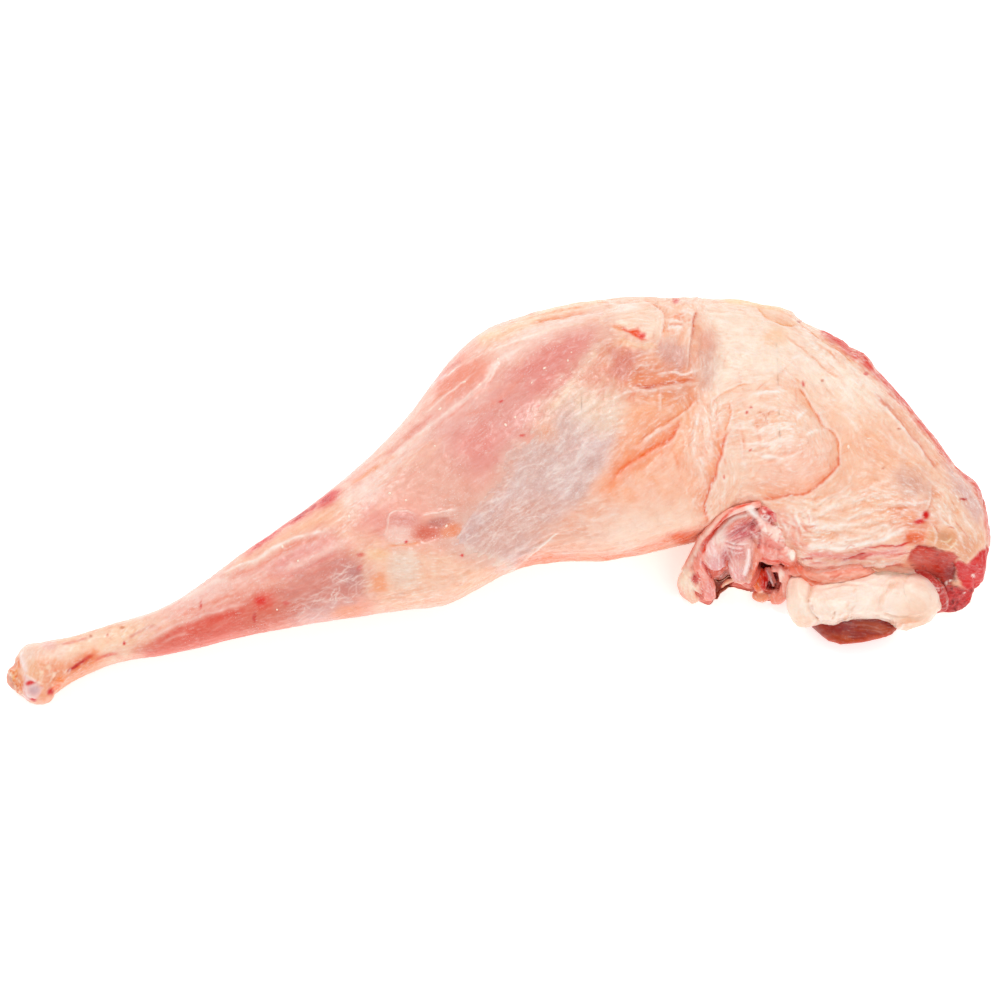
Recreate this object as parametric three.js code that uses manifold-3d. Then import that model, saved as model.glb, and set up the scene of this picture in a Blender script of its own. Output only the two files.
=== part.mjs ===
// A raw kid goat hindquarter: shank, thigh, rump, a short length of loin with its flank,
// and the kidney in its fat. It lies on its inner side with the outer side up.
// Millimetres, +Z up, X from the hock to the loin, Y from the belly side to the back,
// origin on the resting plane under the middle of the whole.
import * as THREE from 'three';
import { LoftGeometry } from 'three/addons/geometries/LoftGeometry.js';
import { mergeVertices } from 'three/addons/utils/BufferGeometryUtils.js';
import Module from 'manifold-3d';

const wasm = await Module();
wasm.setup();

// Driving dimensions

const GAP = 0.4; // clearance between pieces that touch

// Cross-sections of the body, square to X. middle is the centre across, crest how far the top
// leans to the back, and lift how far the underside stands clear of the resting plane.
const BODY = [
  { at: 'cut end of the hock', x: -241, middle: -86.5, width: 17, height: 17, crest: 0, lift: 3 },
  { at: 'hock', x: -231, middle: -87, width: 29, height: 25, crest: 0, lift: 0 },
  { at: 'below the hock', x: -214, middle: -79.8, width: 21.7, height: 24, crest: 0, lift: 1 },
  { at: 'tendon', x: -193, middle: -71.5, width: 19.5, height: 22, crest: 0, lift: 3 },
  { at: 'lower shank', x: -165, middle: -65.5, width: 24, height: 28, crest: 0, lift: 6 },
  { at: 'shank', x: -125, middle: -47.5, width: 43, height: 40, crest: 0, lift: 7 },
  { at: 'below the knee', x: -88, middle: -31.2, width: 63, height: 50, crest: 0, lift: 6 },
  { at: 'knee', x: -50, middle: -10.5, width: 94, height: 59, crest: 1, lift: 4 },
  { at: 'above the knee', x: -25, middle: 8.5, width: 125, height: 65, crest: 2, lift: 2 },
  { at: 'foot of the thigh', x: -10, middle: 19.5, width: 131, height: 69, crest: 3, lift: 1 },
  { at: 'thigh', x: 10, middle: 28.5, width: 128, height: 74, crest: 3, lift: 0 },
  { at: 'hip', x: 60, middle: 35.3, width: 132.5, height: 79, crest: 2, lift: 0 },
  { at: 'rump', x: 105, middle: 40.5, width: 121, height: 77, crest: 4, lift: 0 },
  { at: 'groin', x: 128, middle: 42, width: 115, height: 73, crest: 6, lift: 0 },
  { at: 'flank', x: 151, middle: 28.5, width: 132, height: 68, crest: 8, lift: 0 },
  { at: 'loin', x: 182, middle: 18.5, width: 113, height: 63, crest: 7, lift: 0 },
  { at: 'loin end', x: 214, middle: -17, width: 112, height: 55, crest: 4, lift: 0 },
  { at: 'chine', x: 231, middle: -22, width: 81, height: 48, crest: 2, lift: 0 },
  { at: 'chine edge', x: 240, middle: -19, width: 52, height: 42, crest: 0, lift: 4 },
  { at: 'corner of the chine', x: 244, middle: -20, width: 28, height: 36, crest: 0, lift: 9 },
  { at: 'tip of the chine', x: 245.5, middle: -21, width: 10, height: 30, crest: 0, lift: 14 },
];
const WIDEST = 0.42; // height of a section's widest line, as a share of its height
const SHOULDER = 2.3; // how square the outer side's shoulders are, 2 being an ellipse
const UNDERSIDE = 3.0; // the same for the inner side
const SINK = 1.08; // how far the underside would bulge past the resting plane, which flattens it

// How finely the shapes are divided
const SECTION_COUNT = 82;
const RING_POINTS = 40;
const END_CROWDING = 0.45; // share of the sections' spacing that closes up towards the two ends
const WALL_STEPS = 18;
const WALL_RING_POINTS = 12;
const LOBE_SIDES = 18;
const LOBE_BANDS = 12;
const LUMP_SIDES = 28;
const LUMP_BANDS = 16;
const SAME_POINT = 1e-4; // points nearer than this are one

// Swells and hollows of the outer face: place, half-sizes along and across, turn in degrees, and rise.
const SWELLS = [
  { what: 'flank mound', x: 134, y: 6, along: 27, across: 25, turn: 25, rise: 7 },
  { what: 'crease round the mound', x: 170, y: 10, along: 30, across: 9, turn: -65, rise: -3.5 },
  { what: 'hollow in front of the hip', x: 112, y: 52, along: 16, across: 13, turn: 70, rise: -4 },
  { what: 'groin fold', x: 101, y: 2, along: 34, across: 10, turn: 68, rise: 3.5 },
  { what: 'groin crease', x: 80, y: 14, along: 26, across: 10, turn: 38, rise: -4 },
  { what: 'leg muscle', x: 0, y: 18, along: 60, across: 18, turn: 33, rise: 2.5 },
  { what: 'groove along the thigh', x: 0, y: 44, along: 62, across: 10, turn: 35, rise: -3 },
  { what: 'calf', x: -95, y: -24, along: 40, across: 11, turn: 27, rise: 2.5 },
  { what: 'hollow behind the knee cap', x: -30, y: -14, along: 16, across: 11, turn: 20, rise: -3 },
  { what: 'loin muscle', x: 190, y: 34, along: 44, across: 14, turn: -52, rise: 3 },
];

// Loin cut: a flat saw cut across the back, leaning so that its face looks up a little.
const CUT = { x: 188, y: -51.5, lean: 18, size: 120 };

// The folded flank: thin walls of flesh that hang to the resting plane, each given by its top edge.
const FLANK_WALLS = [
  {
    what: 'outer wall, from the mound round to the tip',
    edge: [
      [142, -7, 37], [122, -11, 38], [107, -18, 34], [99, -28, 24],
      [95, -36, 15], [100, -42, 11], [107, -45, 8],
    ],
    thick: 6.5,
  },
  {
    what: 'curl beside the kidney fat',
    edge: [
      [141, -12, 34], [135, -24, 28], [130, -34, 17], [131, -42, 10],
      [139, -43, 10], [146, -36, 16], [150, -29, 24],
    ],
    thick: 5.5,
  },
];
const FLANK_LOBES = [
  { what: 'silvery lobe', at: [110, -24, 20], half: [10, 17, 15] },
  { what: 'hanging tongue', at: [123, -27, 18], half: [8, 18, 15] },
  { what: 'root of the fold', at: [128, -15, 18], half: [24, 16, 18] },
  { what: 'floor of the fold', at: [116, -33, 6], half: [15, 12, 6] },
  { what: 'fatty tip', at: [101, -38, 8], half: [8, 9, 8] },
  { what: 'lining of the curl', at: [133, -35, 8], half: [8, 9, 8] },
  { what: 'foot of the curl', at: [143, -29, 13], half: [9, 11, 13] },
];

// Knuckle of the hock, left where the foot was taken off at the joint.
const KNUCKLES = [
  { what: 'outer knob', at: [-231, -80, 13], half: [9, 8, 10] },
  { what: 'inner knob', at: [-229, -96.5, 11], half: [8, 6, 9] },
  { what: 'torn joint end', at: [-240.5, -89, 11], half: [5, 6, 7] },
];

// The lump of fat round the kidney, as square as boxy says, with a crease across it near one end.
// The hollow of the kidney is given by its depth and by how sharply it ends.
const KIDNEY_FAT = {
  at: [181.5, -47.5, 17.5],
  half: [38.5, 19.5, 14.5],
  boxy: 3.2,
  crease: 0.13,
  creaseAt: -0.58,
  creaseWidth: 0.12,
};
const KIDNEY = { at: [177, -54, 8.8], half: [23, 17, 8.8], hollow: 0.35, hollowEnds: 4 };

// Solids

// A closed geometry as a solid that can be joined and cut.
function solid(geometry) {
  const bare = new THREE.BufferGeometry();
  bare.setAttribute('position', geometry.attributes.position);
  bare.setIndex(geometry.index);
  const merged = mergeVertices(bare, SAME_POINT);
  const corners = merged.index.array;
  const kept = [];
  for (let i = 0; i < corners.length; i += 3) {
    const [a, b, c] = [corners[i], corners[i + 1], corners[i + 2]];
    if (a !== b && b !== c && c !== a) kept.push(a, b, c);
  }
  return new wasm.Manifold(new wasm.Mesh({
    numProp: 3,
    vertProperties: merged.attributes.position.array,
    triVerts: new Uint32Array(kept),
  }));
}

// A solid as a geometry that three.js can draw.
function geometryOf(body) {
  const mesh = body.getMesh();
  const geometry = new THREE.BufferGeometry();
  geometry.setAttribute('position', new THREE.BufferAttribute(mesh.vertProperties, 3));
  geometry.setIndex(new THREE.BufferAttribute(mesh.triVerts, 1));
  geometry.computeVertexNormals();
  return geometry;
}

// A unit circle's coordinate squared off: power 2 leaves it round, more pushes it to the corners.
function squared(value, power) {
  return Math.sign(value) * Math.abs(value) ** (2 / power);
}

// How far the swells lift the outer face at a place in plan.
function swellAt(x, y) {
  let rise = 0;
  for (const swell of SWELLS) {
    const turn = THREE.MathUtils.degToRad(swell.turn);
    const along = ((x - swell.x) * Math.cos(turn) + (y - swell.y) * Math.sin(turn)) / swell.along;
    const across = ((y - swell.y) * Math.cos(turn) - (x - swell.x) * Math.sin(turn)) / swell.across;
    rise += swell.rise * Math.exp(-along * along - across * across);
  }
  return rise;
}

const SECTION_SIZES = ['middle', 'width', 'height', 'crest', 'lift'];
const bodySizes = new THREE.CubicInterpolant(
  BODY.map((section) => section.x),
  BODY.flatMap((section) => SECTION_SIZES.map((size) => section[size])),
  SECTION_SIZES.length,
);

// One cross-section of the body as a ring of points, flat where it lies on the resting plane.
function bodyRing(x) {
  const [middle, width, height, crest, lift] = bodySizes.evaluate(x);
  const widest = lift + (height - lift) * WIDEST;
  const ring = [];
  for (let i = 0; i < RING_POINTS; i += 1) {
    const angle = (i / RING_POINTS) * 2 * Math.PI;
    const rise = Math.sin(angle);
    let z;
    let y = middle + squared(Math.cos(angle), SHOULDER) * width / 2;
    if (rise > 0) {
      const up = squared(rise, SHOULDER);
      y += crest * up * up;
      z = widest + (height - widest) * up + swellAt(x, y) * up;
    } else {
      z = Math.max(0, widest + (widest - lift) * SINK * squared(rise, UNDERSIDE));
    }
    ring.push(new THREE.Vector3(x, y, z));
  }
  return ring;
}

function bodyLoft() {
  const first = BODY[0].x;
  const last = BODY.at(-1).x;
  const rings = [];
  for (let i = 0; i <= SECTION_COUNT; i += 1) {
    const even = i / SECTION_COUNT;
    const crowded = (1 - Math.cos(Math.PI * even)) / 2;
    const share = THREE.MathUtils.lerp(even, crowded, END_CROWDING);
    rings.push(bodyRing(THREE.MathUtils.lerp(first, last, share)));
  }
  return solid(new LoftGeometry(rings, { capStart: true, capEnd: true }));
}

// An egg-shaped swelling, flat where it would pass the resting plane.
function lobe({ at, half }) {
  const geometry = new THREE.SphereGeometry(1, LOBE_SIDES, LOBE_BANDS);
  geometry.scale(...half);
  geometry.translate(...at);
  const position = geometry.attributes.position;
  for (let i = 0; i < position.count; i += 1) position.setZ(i, Math.max(0, position.getZ(i)));
  return solid(geometry);
}

// A thin wall of flesh that stands on the resting plane under a curved top edge.
function wall({ edge, thick }) {
  const curve = new THREE.CatmullRomCurve3(edge.map((point) => new THREE.Vector3(...point)));
  const rings = [];
  for (let i = 0; i <= WALL_STEPS; i += 1) {
    const top = curve.getPointAt(i / WALL_STEPS);
    const ahead = curve.getTangentAt(i / WALL_STEPS).setZ(0).normalize();
    const ring = [];
    for (let j = 0; j < WALL_RING_POINTS; j += 1) {
      const angle = (j / WALL_RING_POINTS) * 2 * Math.PI;
      const aside = squared(Math.cos(angle), UNDERSIDE) * thick / 2;
      const height = (1 + squared(Math.sin(angle), UNDERSIDE)) * top.z / 2;
      ring.push(new THREE.Vector3(top.x - ahead.y * aside, top.y + ahead.x * aside, height));
    }
    rings.push(ring);
  }
  return solid(new LoftGeometry(rings, { capStart: true, capEnd: true }));
}

// The slab that the saw takes off the loin.
function loinCut() {
  const slab = new THREE.BoxGeometry(CUT.size, CUT.size, CUT.size * 2);
  slab.translate(CUT.size / 2, -CUT.size / 2, 0);
  slab.rotateX(THREE.MathUtils.degToRad(-CUT.lean));
  slab.translate(CUT.x, CUT.y, 0);
  return solid(slab);
}

// A closed lump whose radius follows shape, a function of the direction, made larger by grown.
function lump({ at, half }, shape, grown = 0) {
  const geometry = new THREE.SphereGeometry(1, LUMP_SIDES, LUMP_BANDS);
  const position = geometry.attributes.position;
  const point = new THREE.Vector3();
  for (let i = 0; i < position.count; i += 1) {
    point.fromBufferAttribute(position, i);
    const swell = shape(point);
    position.setXYZ(
      i,
      at[0] + point.x * (half[0] * swell + grown),
      at[1] + point.y * (half[1] * swell + grown),
      Math.max(0, at[2] + point.z * (half[2] * swell + grown)),
    );
  }
  return solid(geometry);
}

function fatShape({ x, y, z }) {
  const { boxy, crease, creaseAt, creaseWidth } = KIDNEY_FAT;
  const round = (Math.abs(x) ** boxy + Math.abs(y) ** boxy + Math.abs(z) ** boxy) ** (-1 / boxy);
  return round - crease * Math.exp(-(((x - creaseAt) / creaseWidth) ** 2));
}

function kidneyShape({ x, y, z }) {
  return 1 - KIDNEY.hollow * Math.max(0, -y) * Math.max(0, z) * Math.exp(-KIDNEY.hollowEnds * x * x);
}

const kidney = lump(KIDNEY, kidneyShape);
const kidneyFat = lump(KIDNEY_FAT, fatShape).subtract(lump(KIDNEY, kidneyShape, GAP));

let meat = bodyLoft().subtract(loinCut());
for (const swelling of [...FLANK_LOBES, ...KNUCKLES]) meat = meat.add(lobe(swelling));
for (const fold of FLANK_WALLS) meat = meat.add(wall(fold));
meat = meat.subtract(lump(KIDNEY_FAT, fatShape, GAP)).subtract(lump(KIDNEY, kidneyShape, GAP));

// The part

const flesh = new THREE.MeshStandardMaterial({ color: 0xeab39c, roughness: 0.42, metalness: 0 });
const suet = new THREE.MeshStandardMaterial({ color: 0xf6e2cf, roughness: 0.5, metalness: 0 });
const organ = new THREE.MeshStandardMaterial({ color: 0x8a4a3a, roughness: 0.3, metalness: 0 });

function piece(name, body, material) {
  const mesh = new THREE.Mesh(geometryOf(body), material);
  mesh.name = name;
  return mesh;
}

const hindquarter = new THREE.Group();
hindquarter.add(piece('hindquarter', meat, flesh));
hindquarter.add(piece('kidney_fat', kidneyFat, suet));
hindquarter.add(piece('kidney', kidney, organ));

// The origin goes under the middle of the whole.
const middle = new THREE.Box3().setFromObject(hindquarter).getCenter(new THREE.Vector3());
hindquarter.position.set(-middle.x, -middle.y, 0);

export default hindquarter;
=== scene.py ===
import math

import bmesh
import bpy
import numpy as np
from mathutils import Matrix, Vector, noise


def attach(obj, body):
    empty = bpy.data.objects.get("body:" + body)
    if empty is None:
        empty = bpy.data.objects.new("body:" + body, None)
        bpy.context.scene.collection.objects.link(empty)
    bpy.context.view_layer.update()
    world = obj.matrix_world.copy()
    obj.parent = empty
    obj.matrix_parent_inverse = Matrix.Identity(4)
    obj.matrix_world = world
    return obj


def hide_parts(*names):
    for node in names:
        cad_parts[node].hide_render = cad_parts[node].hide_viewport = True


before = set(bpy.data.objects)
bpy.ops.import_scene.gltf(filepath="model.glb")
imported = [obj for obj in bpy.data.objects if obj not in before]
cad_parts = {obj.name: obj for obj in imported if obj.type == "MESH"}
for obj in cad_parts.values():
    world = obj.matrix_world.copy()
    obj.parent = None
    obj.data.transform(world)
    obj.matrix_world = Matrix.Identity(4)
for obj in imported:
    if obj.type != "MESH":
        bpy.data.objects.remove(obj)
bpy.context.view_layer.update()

# Shank and thigh
# Bare muscle under a thin film: pink bundles with pale seams between them, cream tendon at the hock and
# fat at the knee. The frame's solid is rounded off, and the muscles are pressed into it and painted.

MM = 0.001
ROUND_GRID = 1.1
ROUND_PASSES = 30
THIGH_GRID = 0.64
THIGH_END = 72.0
CUT_PASSES = 4
MUSCLE_SINK = 3.5
FLOOR_SETTLE = 0.5

# The shown side is drawn in millimetres on a plane through its middle, square to the way it is looked at.
LOOK_UP = math.radians(70)
LOOK_AT = np.array([0.0, -1.8, 30.0])
LOOK_FROM = 1875.0
ahead = np.array([0.0, math.cos(LOOK_UP), -math.sin(LOOK_UP)])
upward = np.array([0.0, math.sin(LOOK_UP), math.cos(LOOK_UP)])
rightward = np.array([1.0, 0.0, 0.0])
eye = LOOK_AT - ahead * LOOK_FROM

# Wet tissue throws back this share of the light before its own colour does.
SHEEN = 0.05


def tone(red, green, blue):
    """A colour as it looks, from 0 to 255, as the light that the tissue under the sheen gives back."""
    look = np.array([red, green, blue]) / 255
    light = np.where(look <= 0.04045, look / 12.92, ((look + 0.055) / 1.055) ** 2.4)
    return np.maximum(light - SHEEN, 0.002) / (1 - SHEEN)


def shown_place(points):
    """Where points show on the drawing plane: millimetres to the right and up from its middle."""
    ray = points - eye
    reach = LOOK_FROM / (ray @ ahead)
    return np.stack([ray[:, 0] * reach, (ray @ upward) * reach], axis=1)


def clouds(points, size, seed):
    """Smooth noise from -1 to 1, in lumps of the given size."""
    shifted = points / size + np.array([31.7, 17.1, 9.3]) * seed
    return np.array([noise.noise(point) for point in shifted.tolist()])


def ease(value, low, high):
    """0 below low, 1 above high and a smooth rise between them."""
    share = np.clip((value - low) / (high - low), 0, 1)
    return share * share * (3 - 2 * share)


def new_object(name, data):
    made = bpy.data.objects.new(name, data)
    bpy.context.scene.collection.objects.link(made)
    return made


def merged_copy(node, name):
    """A frame node's mesh in a new object, its loose triangles joined."""
    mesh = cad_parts[node].data.copy()
    shape = bmesh.new()
    shape.from_mesh(mesh)
    bmesh.ops.remove_doubles(shape, verts=shape.verts, dist=1e-6)
    shape.to_mesh(mesh)
    shape.free()
    mesh.materials.clear()
    return new_object(name, mesh)


def even_skin(piece, grid):
    """Gives a closed piece a new even surface with points the given distance apart."""
    remesh = piece.modifiers.new("even skin", "REMESH")
    remesh.mode = "VOXEL"
    remesh.voxel_size = grid * MM
    depsgraph = bpy.context.evaluated_depsgraph_get()
    mesh = bpy.data.meshes.new_from_object(piece.evaluated_get(depsgraph))
    piece.modifiers.clear()
    piece.data = mesh


def points_of(mesh):
    flat = np.zeros(len(mesh.vertices) * 3)
    mesh.vertices.foreach_get("co", flat)
    return flat.reshape(-1, 3) / MM


def place_points(mesh, points):
    mesh.vertices.foreach_set("co", (points * MM).ravel())
    mesh.update()


def smooth(mesh, passes):
    """Smooths small unevenness away and keeps the size."""
    points = points_of(mesh)
    ends = np.zeros(len(mesh.edges) * 2, int)
    mesh.edges.foreach_get("vertices", ends)
    first, second = ends.reshape(-1, 2).T
    count = len(points)
    share = np.bincount(first, minlength=count) + np.bincount(second, minlength=count)
    for _ in range(passes):
        for move in (0.5, -0.53):
            for axis in range(3):
                line = points[:, axis]
                total = np.bincount(first, line[second], count) + np.bincount(second, line[first], count)
                points[:, axis] = line + move * (total / share - line)
    place_points(mesh, points)


def cut_across(shape, across, side):
    """Takes off the left (-1) or right (1) side of a closed form and closes the cut."""
    everything = shape.verts[:] + shape.edges[:] + shape.faces[:]
    facing = (side, 0, 0)
    cut = bmesh.ops.bisect_plane(
        shape, geom=everything, plane_co=(across * MM, 0, 0), plane_no=facing, clear_outer=True,
    )
    rim = [edge for edge in cut["geom_cut"] if isinstance(edge, bmesh.types.BMEdge)]
    bmesh.ops.triangle_fill(shape, edges=rim, normal=facing)
    for edge in rim:
        edge.smooth = False


def cut_from(form, name, grid, across, side):
    """What is left of a closed form after one side is cut off, with a finer surface."""
    shape = bmesh.new()
    shape.from_mesh(form.data)
    cut_across(shape, across, side)
    mesh = bpy.data.meshes.new(name)
    shape.to_mesh(mesh)
    shape.free()
    piece = new_object(name, mesh)
    even_skin(piece, grid)
    smooth(piece.data, CUT_PASSES)
    return piece


def flat_base(mesh):
    """Settles the piece on the floor, with plain triangles where it lies on it."""
    points = points_of(mesh)
    points[:, 2] = np.maximum(points[:, 2] - FLOOR_SETTLE * (1 - ease(points[:, 2], 0, 8)), 0)
    place_points(mesh, points)
    shape = bmesh.new()
    shape.from_mesh(mesh)
    resting = [face for face in shape.faces if all(corner.co.z < 1e-6 for corner in face.verts)]
    bmesh.ops.delete(shape, geom=resting, context="FACES")
    rim = [edge for edge in shape.edges if edge.is_boundary]
    bmesh.ops.triangle_fill(shape, edges=rim, use_beauty=True, normal=(0, 0, -1))
    for edge in rim:
        edge.smooth = False
    shape.to_mesh(mesh)
    shape.free()


def curve_through(path, steps=6):
    """A smooth line of points through the path's points."""
    knots = np.array(path, float)
    if len(knots) < 3:
        return knots
    knots = np.vstack([2 * knots[0] - knots[1], knots, 2 * knots[-1] - knots[-2]])
    line = []
    for a, b, c, d in zip(knots, knots[1:], knots[2:], knots[3:]):
        for t in np.arange(steps) / steps:
            bend = (2 * a - 5 * b + 4 * c - d) * t + (3 * b - a - 3 * c + d) * t * t
            line.append(b + 0.5 * t * (c - a + bend))
    return np.array(line + [knots[-2]])


def depth_inside(places, outline):
    """How far places lie inside a closed outline, below 0 outside it."""
    closed = np.array(list(outline) + [outline[0]], float)
    nearest = np.full(len(places), np.inf)
    inside = np.zeros(len(places), bool)
    for start, end in zip(closed, closed[1:]):
        step = end - start
        share = np.clip((places - start) @ step / (step @ step), 0, 1)
        nearest = np.minimum(nearest, np.linalg.norm(places - start - share[:, None] * step, axis=1))
        if start[1] != end[1]:
            crosses = (start[1] > places[:, 1]) != (end[1] > places[:, 1])
            inside ^= crosses & (places[:, 0] < start[0] + step[0] * (places[:, 1] - start[1]) / step[1])
    return np.where(inside, nearest, -nearest)


class Skin:
    """The surface of a piece, with the colour, the kind of tissue and the relief painted on it."""

    KINDS = {"muscle": (1, 0, 0), "fat": (0, 1, 0), "film": (0, 0, 1)}

    def __init__(self, mesh, colour, kind, guides, wobble=0.8, wrinkled=0.4, sway=0.55):
        self.mesh = mesh
        self.points = points_of(mesh)
        facing = np.zeros(len(mesh.vertices) * 3)
        mesh.vertices.foreach_get("normal", facing)
        self.outward = facing.reshape(-1, 3)
        waves = [clouds(self.points, 8, seed) + 0.5 * clouds(self.points, 3, seed + 2) for seed in (1, 2)]
        self.place = shown_place(self.points) + wobble * np.stack(waves, axis=1)
        toward = -self.outward @ ahead + 0.12 * clouds(self.points, 6, 6)
        self.seen = ease(toward, -0.06, 0.22)
        self.past = ease(toward, -0.3, 0.0)
        self.colour = np.tile(tone(*colour), (len(self.points), 1))
        self.kinds = np.tile(np.array(self.KINDS[kind], float), (len(self.points), 1))
        self.lift = np.zeros(len(self.points))
        self.back = np.zeros(len(self.points))
        self.breakup = clouds(self.points, 4, 7)
        self.wrinkled = np.full(len(self.points), wrinkled)
        self.way = self.drawn(guides, sway)
        shown = np.flatnonzero(self.past > 0)
        self.from_left = shown[np.argsort(self.place[shown, 0])]
        self.lefts = self.place[self.from_left, 0]

    def drawn(self, guides, sway):
        """The way the tissue is drawn at each point, from guides: places and the turn there in degrees."""
        lean = np.zeros((len(self.points), 2))
        for across, up, turn in guides:
            near = 1 / (((self.place - (across, up)) ** 2).sum(axis=1) + 40) ** 2
            double = math.radians(2 * turn)
            lean += near[:, None] * (math.cos(double), math.sin(double))
        angle = np.arctan2(lean[:, 1], lean[:, 0]) / 2
        angle += sway * (1.1 * clouds(self.points, 12, 8) + 0.7 * clouds(self.points, 4.5, 9))
        way = np.cos(angle)[:, None] * rightward + np.sin(angle)[:, None] * upward
        way -= self.outward * (way * self.outward).sum(axis=1)[:, None]
        return way / np.maximum(np.linalg.norm(way, axis=1), 1e-6)[:, None]

    def fold(self, length, width, seed, rise, shine, depth):
        """Fine folds along the way of the tissue: raised crests with a painted highlight and valleys with
        painted shade.
        """
        waves = np.zeros(len(self.points))
        for share in np.linspace(-0.5, 0.5, 7):
            waves += clouds(self.points + self.way * (share * length), width, seed)
        waves /= waves.std()
        crest = ease(waves, 0.4, 2.2) * self.wrinkled
        valley = ease(-waves, 0.4, 2.2) * self.wrinkled
        self.colour += (tone(*WHITE_FAT_AND_HIGHLIGHT) - self.colour) * (crest * shine)[:, None]
        self.colour *= 1 - (valley * depth)[:, None] * np.array([0.06, 0.3, 0.42])
        self.lift += rise * np.clip(waves, -2, 2) * self.wrinkled

    def lay(self, index, weight, colour=None, strength=0.85, kind=None, rise=0.0, back=0.0,
            wrinkled=None, around=False):
        """Mixes a colour and a kind of tissue into some points, lifts them and sets them back."""
        weight = weight * (self.past if around else self.seen)[index]
        mixed = np.clip(weight * strength, 0, 1)[:, None]
        if wrinkled is not None:
            self.wrinkled[index] += (wrinkled - self.wrinkled[index]) * weight
        if colour is not None:
            self.colour[index] += (tone(*colour) - self.colour[index]) * mixed
        if kind is not None:
            self.kinds[index] += (np.array(self.KINDS[kind]) - self.kinds[index]) * mixed
        self.lift[index] += rise * weight
        self.back[index] += back * weight

    def near(self, low, high, margin):
        """The points that show in a box on the drawing plane."""
        first, last = np.searchsorted(self.lefts, (low[0] - margin, high[0] + margin))
        index = self.from_left[first:last]
        up = self.place[index, 1]
        return index[(up > low[1] - margin) & (up < high[1] + margin)]

    def follow(self, path, margin):
        """The points near a path: how far off it and how far along it they lie, and 1 on its left or -1."""
        line = curve_through(path)
        index = self.near(line.min(axis=0), line.max(axis=0), margin)
        nearest = np.full(len(index), np.inf)
        along = np.zeros(len(index))
        side = np.ones(len(index))
        lengths = np.linalg.norm(np.diff(line, axis=0), axis=1)
        before = np.concatenate([[0], np.cumsum(lengths)[:-1]])
        for start, end, length, passed in zip(line, line[1:], lengths, before):
            step = (end - start) / max(length, 1e-9)
            gap = self.place[index] - start
            share = np.clip(gap @ step, 0, length)
            away = np.linalg.norm(gap - share[:, None] * step, axis=1)
            closer = away < nearest
            nearest[closer] = away[closer]
            along[closer] = passed + share[closer]
            side[closer] = np.sign(step[0] * gap[closer, 1] - step[1] * gap[closer, 0])
        return index, nearest, along / lengths.sum(), side

    def stroke(self, path, width, broken=0.3, taper=0.2, lip=0.0, **paint):
        """A soft line along a path. lip raises the ground on both sides of it."""
        index, off, share, _ = self.follow(path, width * 2.2)
        weight = np.exp(-((off / (width / 2)) ** 2) * 1.4)
        if taper:
            weight *= ease(share, 0, taper) * ease(1 - share, 0, taper)
        weight *= 1 - broken * ease(self.breakup[index], -0.1, 0.5)
        self.lay(index, weight, **paint)
        if lip:
            rim = np.exp(-(((off - width) / (width / 2)) ** 2))
            self.lift[index] += lip * rim * self.seen[index]

    def crease(self, path, width, depth, glow, colour, core):
        """Where a layer folds over: painted shade as a warm glow on the left and a fine core, and a painted
        highlight as a pale lip on the right.
        """
        index, off, share, side = self.follow(path, glow * 3 + width * 2)
        ends = ease(share, 0, 0.15) * ease(1 - share, 0, 0.15)
        uneven = ends * (1 - 0.5 * ease(self.breakup[index], -0.2, 0.5))
        left = off * side
        fading = np.exp(-np.where(left > 0, left / glow, (left / (0.4 * width)) ** 2))
        self.lay(index, fading * ends, colour=colour, strength=0.7, rise=-0.5 * depth)
        self.lay(index, np.exp(-((left / (width / 2)) ** 2)) * uneven, colour=core, strength=0.7)
        lip = np.exp(-(((left + width) / (0.7 * width)) ** 2))
        self.lay(index, lip * uneven, colour=WHITE_FAT_AND_HIGHLIGHT, strength=0.35, rise=0.15 * depth)

    def patch(self, outline, edge, ragged=0.5, **paint):
        """An area inside a closed outline, with a soft edge."""
        corners = np.array(outline, float)
        index = self.near(corners.min(axis=0), corners.max(axis=0), edge * 2)
        if len(index):
            depth = depth_inside(self.place[index], outline) + edge * ragged * self.breakup[index]
            self.lay(index, ease(depth, -edge, edge), **paint)

    def spot(self, middle, half, turn=0.0, **paint):
        """A soft oval."""
        index = self.near(middle, middle, max(half) * 1.6)
        if not len(index):
            return
        across, up = (self.place[index] - middle).T
        angle = math.radians(turn)
        along = (across * math.cos(angle) + up * math.sin(angle)) / half[0]
        aside = (up * math.cos(angle) - across * math.sin(angle)) / half[1]
        ring = along * along + aside * aside
        self.lay(index, np.exp(-ring * ring * 0.9), **paint)

    def fibres(self, middle, half, turn, count, length, width, colours, seed, spread=6, rise=0.0,
               strength=0.5):
        """Many short fine lines that run one way inside an oval."""
        draw = np.random.default_rng(seed)
        angle = math.radians(turn)
        way = np.array([math.cos(angle), math.sin(angle)])
        aside = np.array([-way[1], way[0]])
        for _ in range(count):
            radius, around = math.sqrt(draw.random()), draw.random() * 2 * math.pi
            at = middle + radius * (math.cos(around) * half[0] * way + math.sin(around) * half[1] * aside)
            lean = angle + math.radians(draw.normal(0, spread))
            reach = length * draw.uniform(0.5, 1.2) / 2 * np.array([math.cos(lean), math.sin(lean)])
            bend = draw.normal(0, 0.12) * np.array([-reach[1], reach[0]])
            self.stroke(
                [at - reach, at + bend, at + reach], width * draw.uniform(0.7, 1.4),
                colour=colours[draw.integers(len(colours))], strength=strength * draw.uniform(0.4, 1),
                rise=rise * draw.uniform(0.3, 1),
            )

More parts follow.
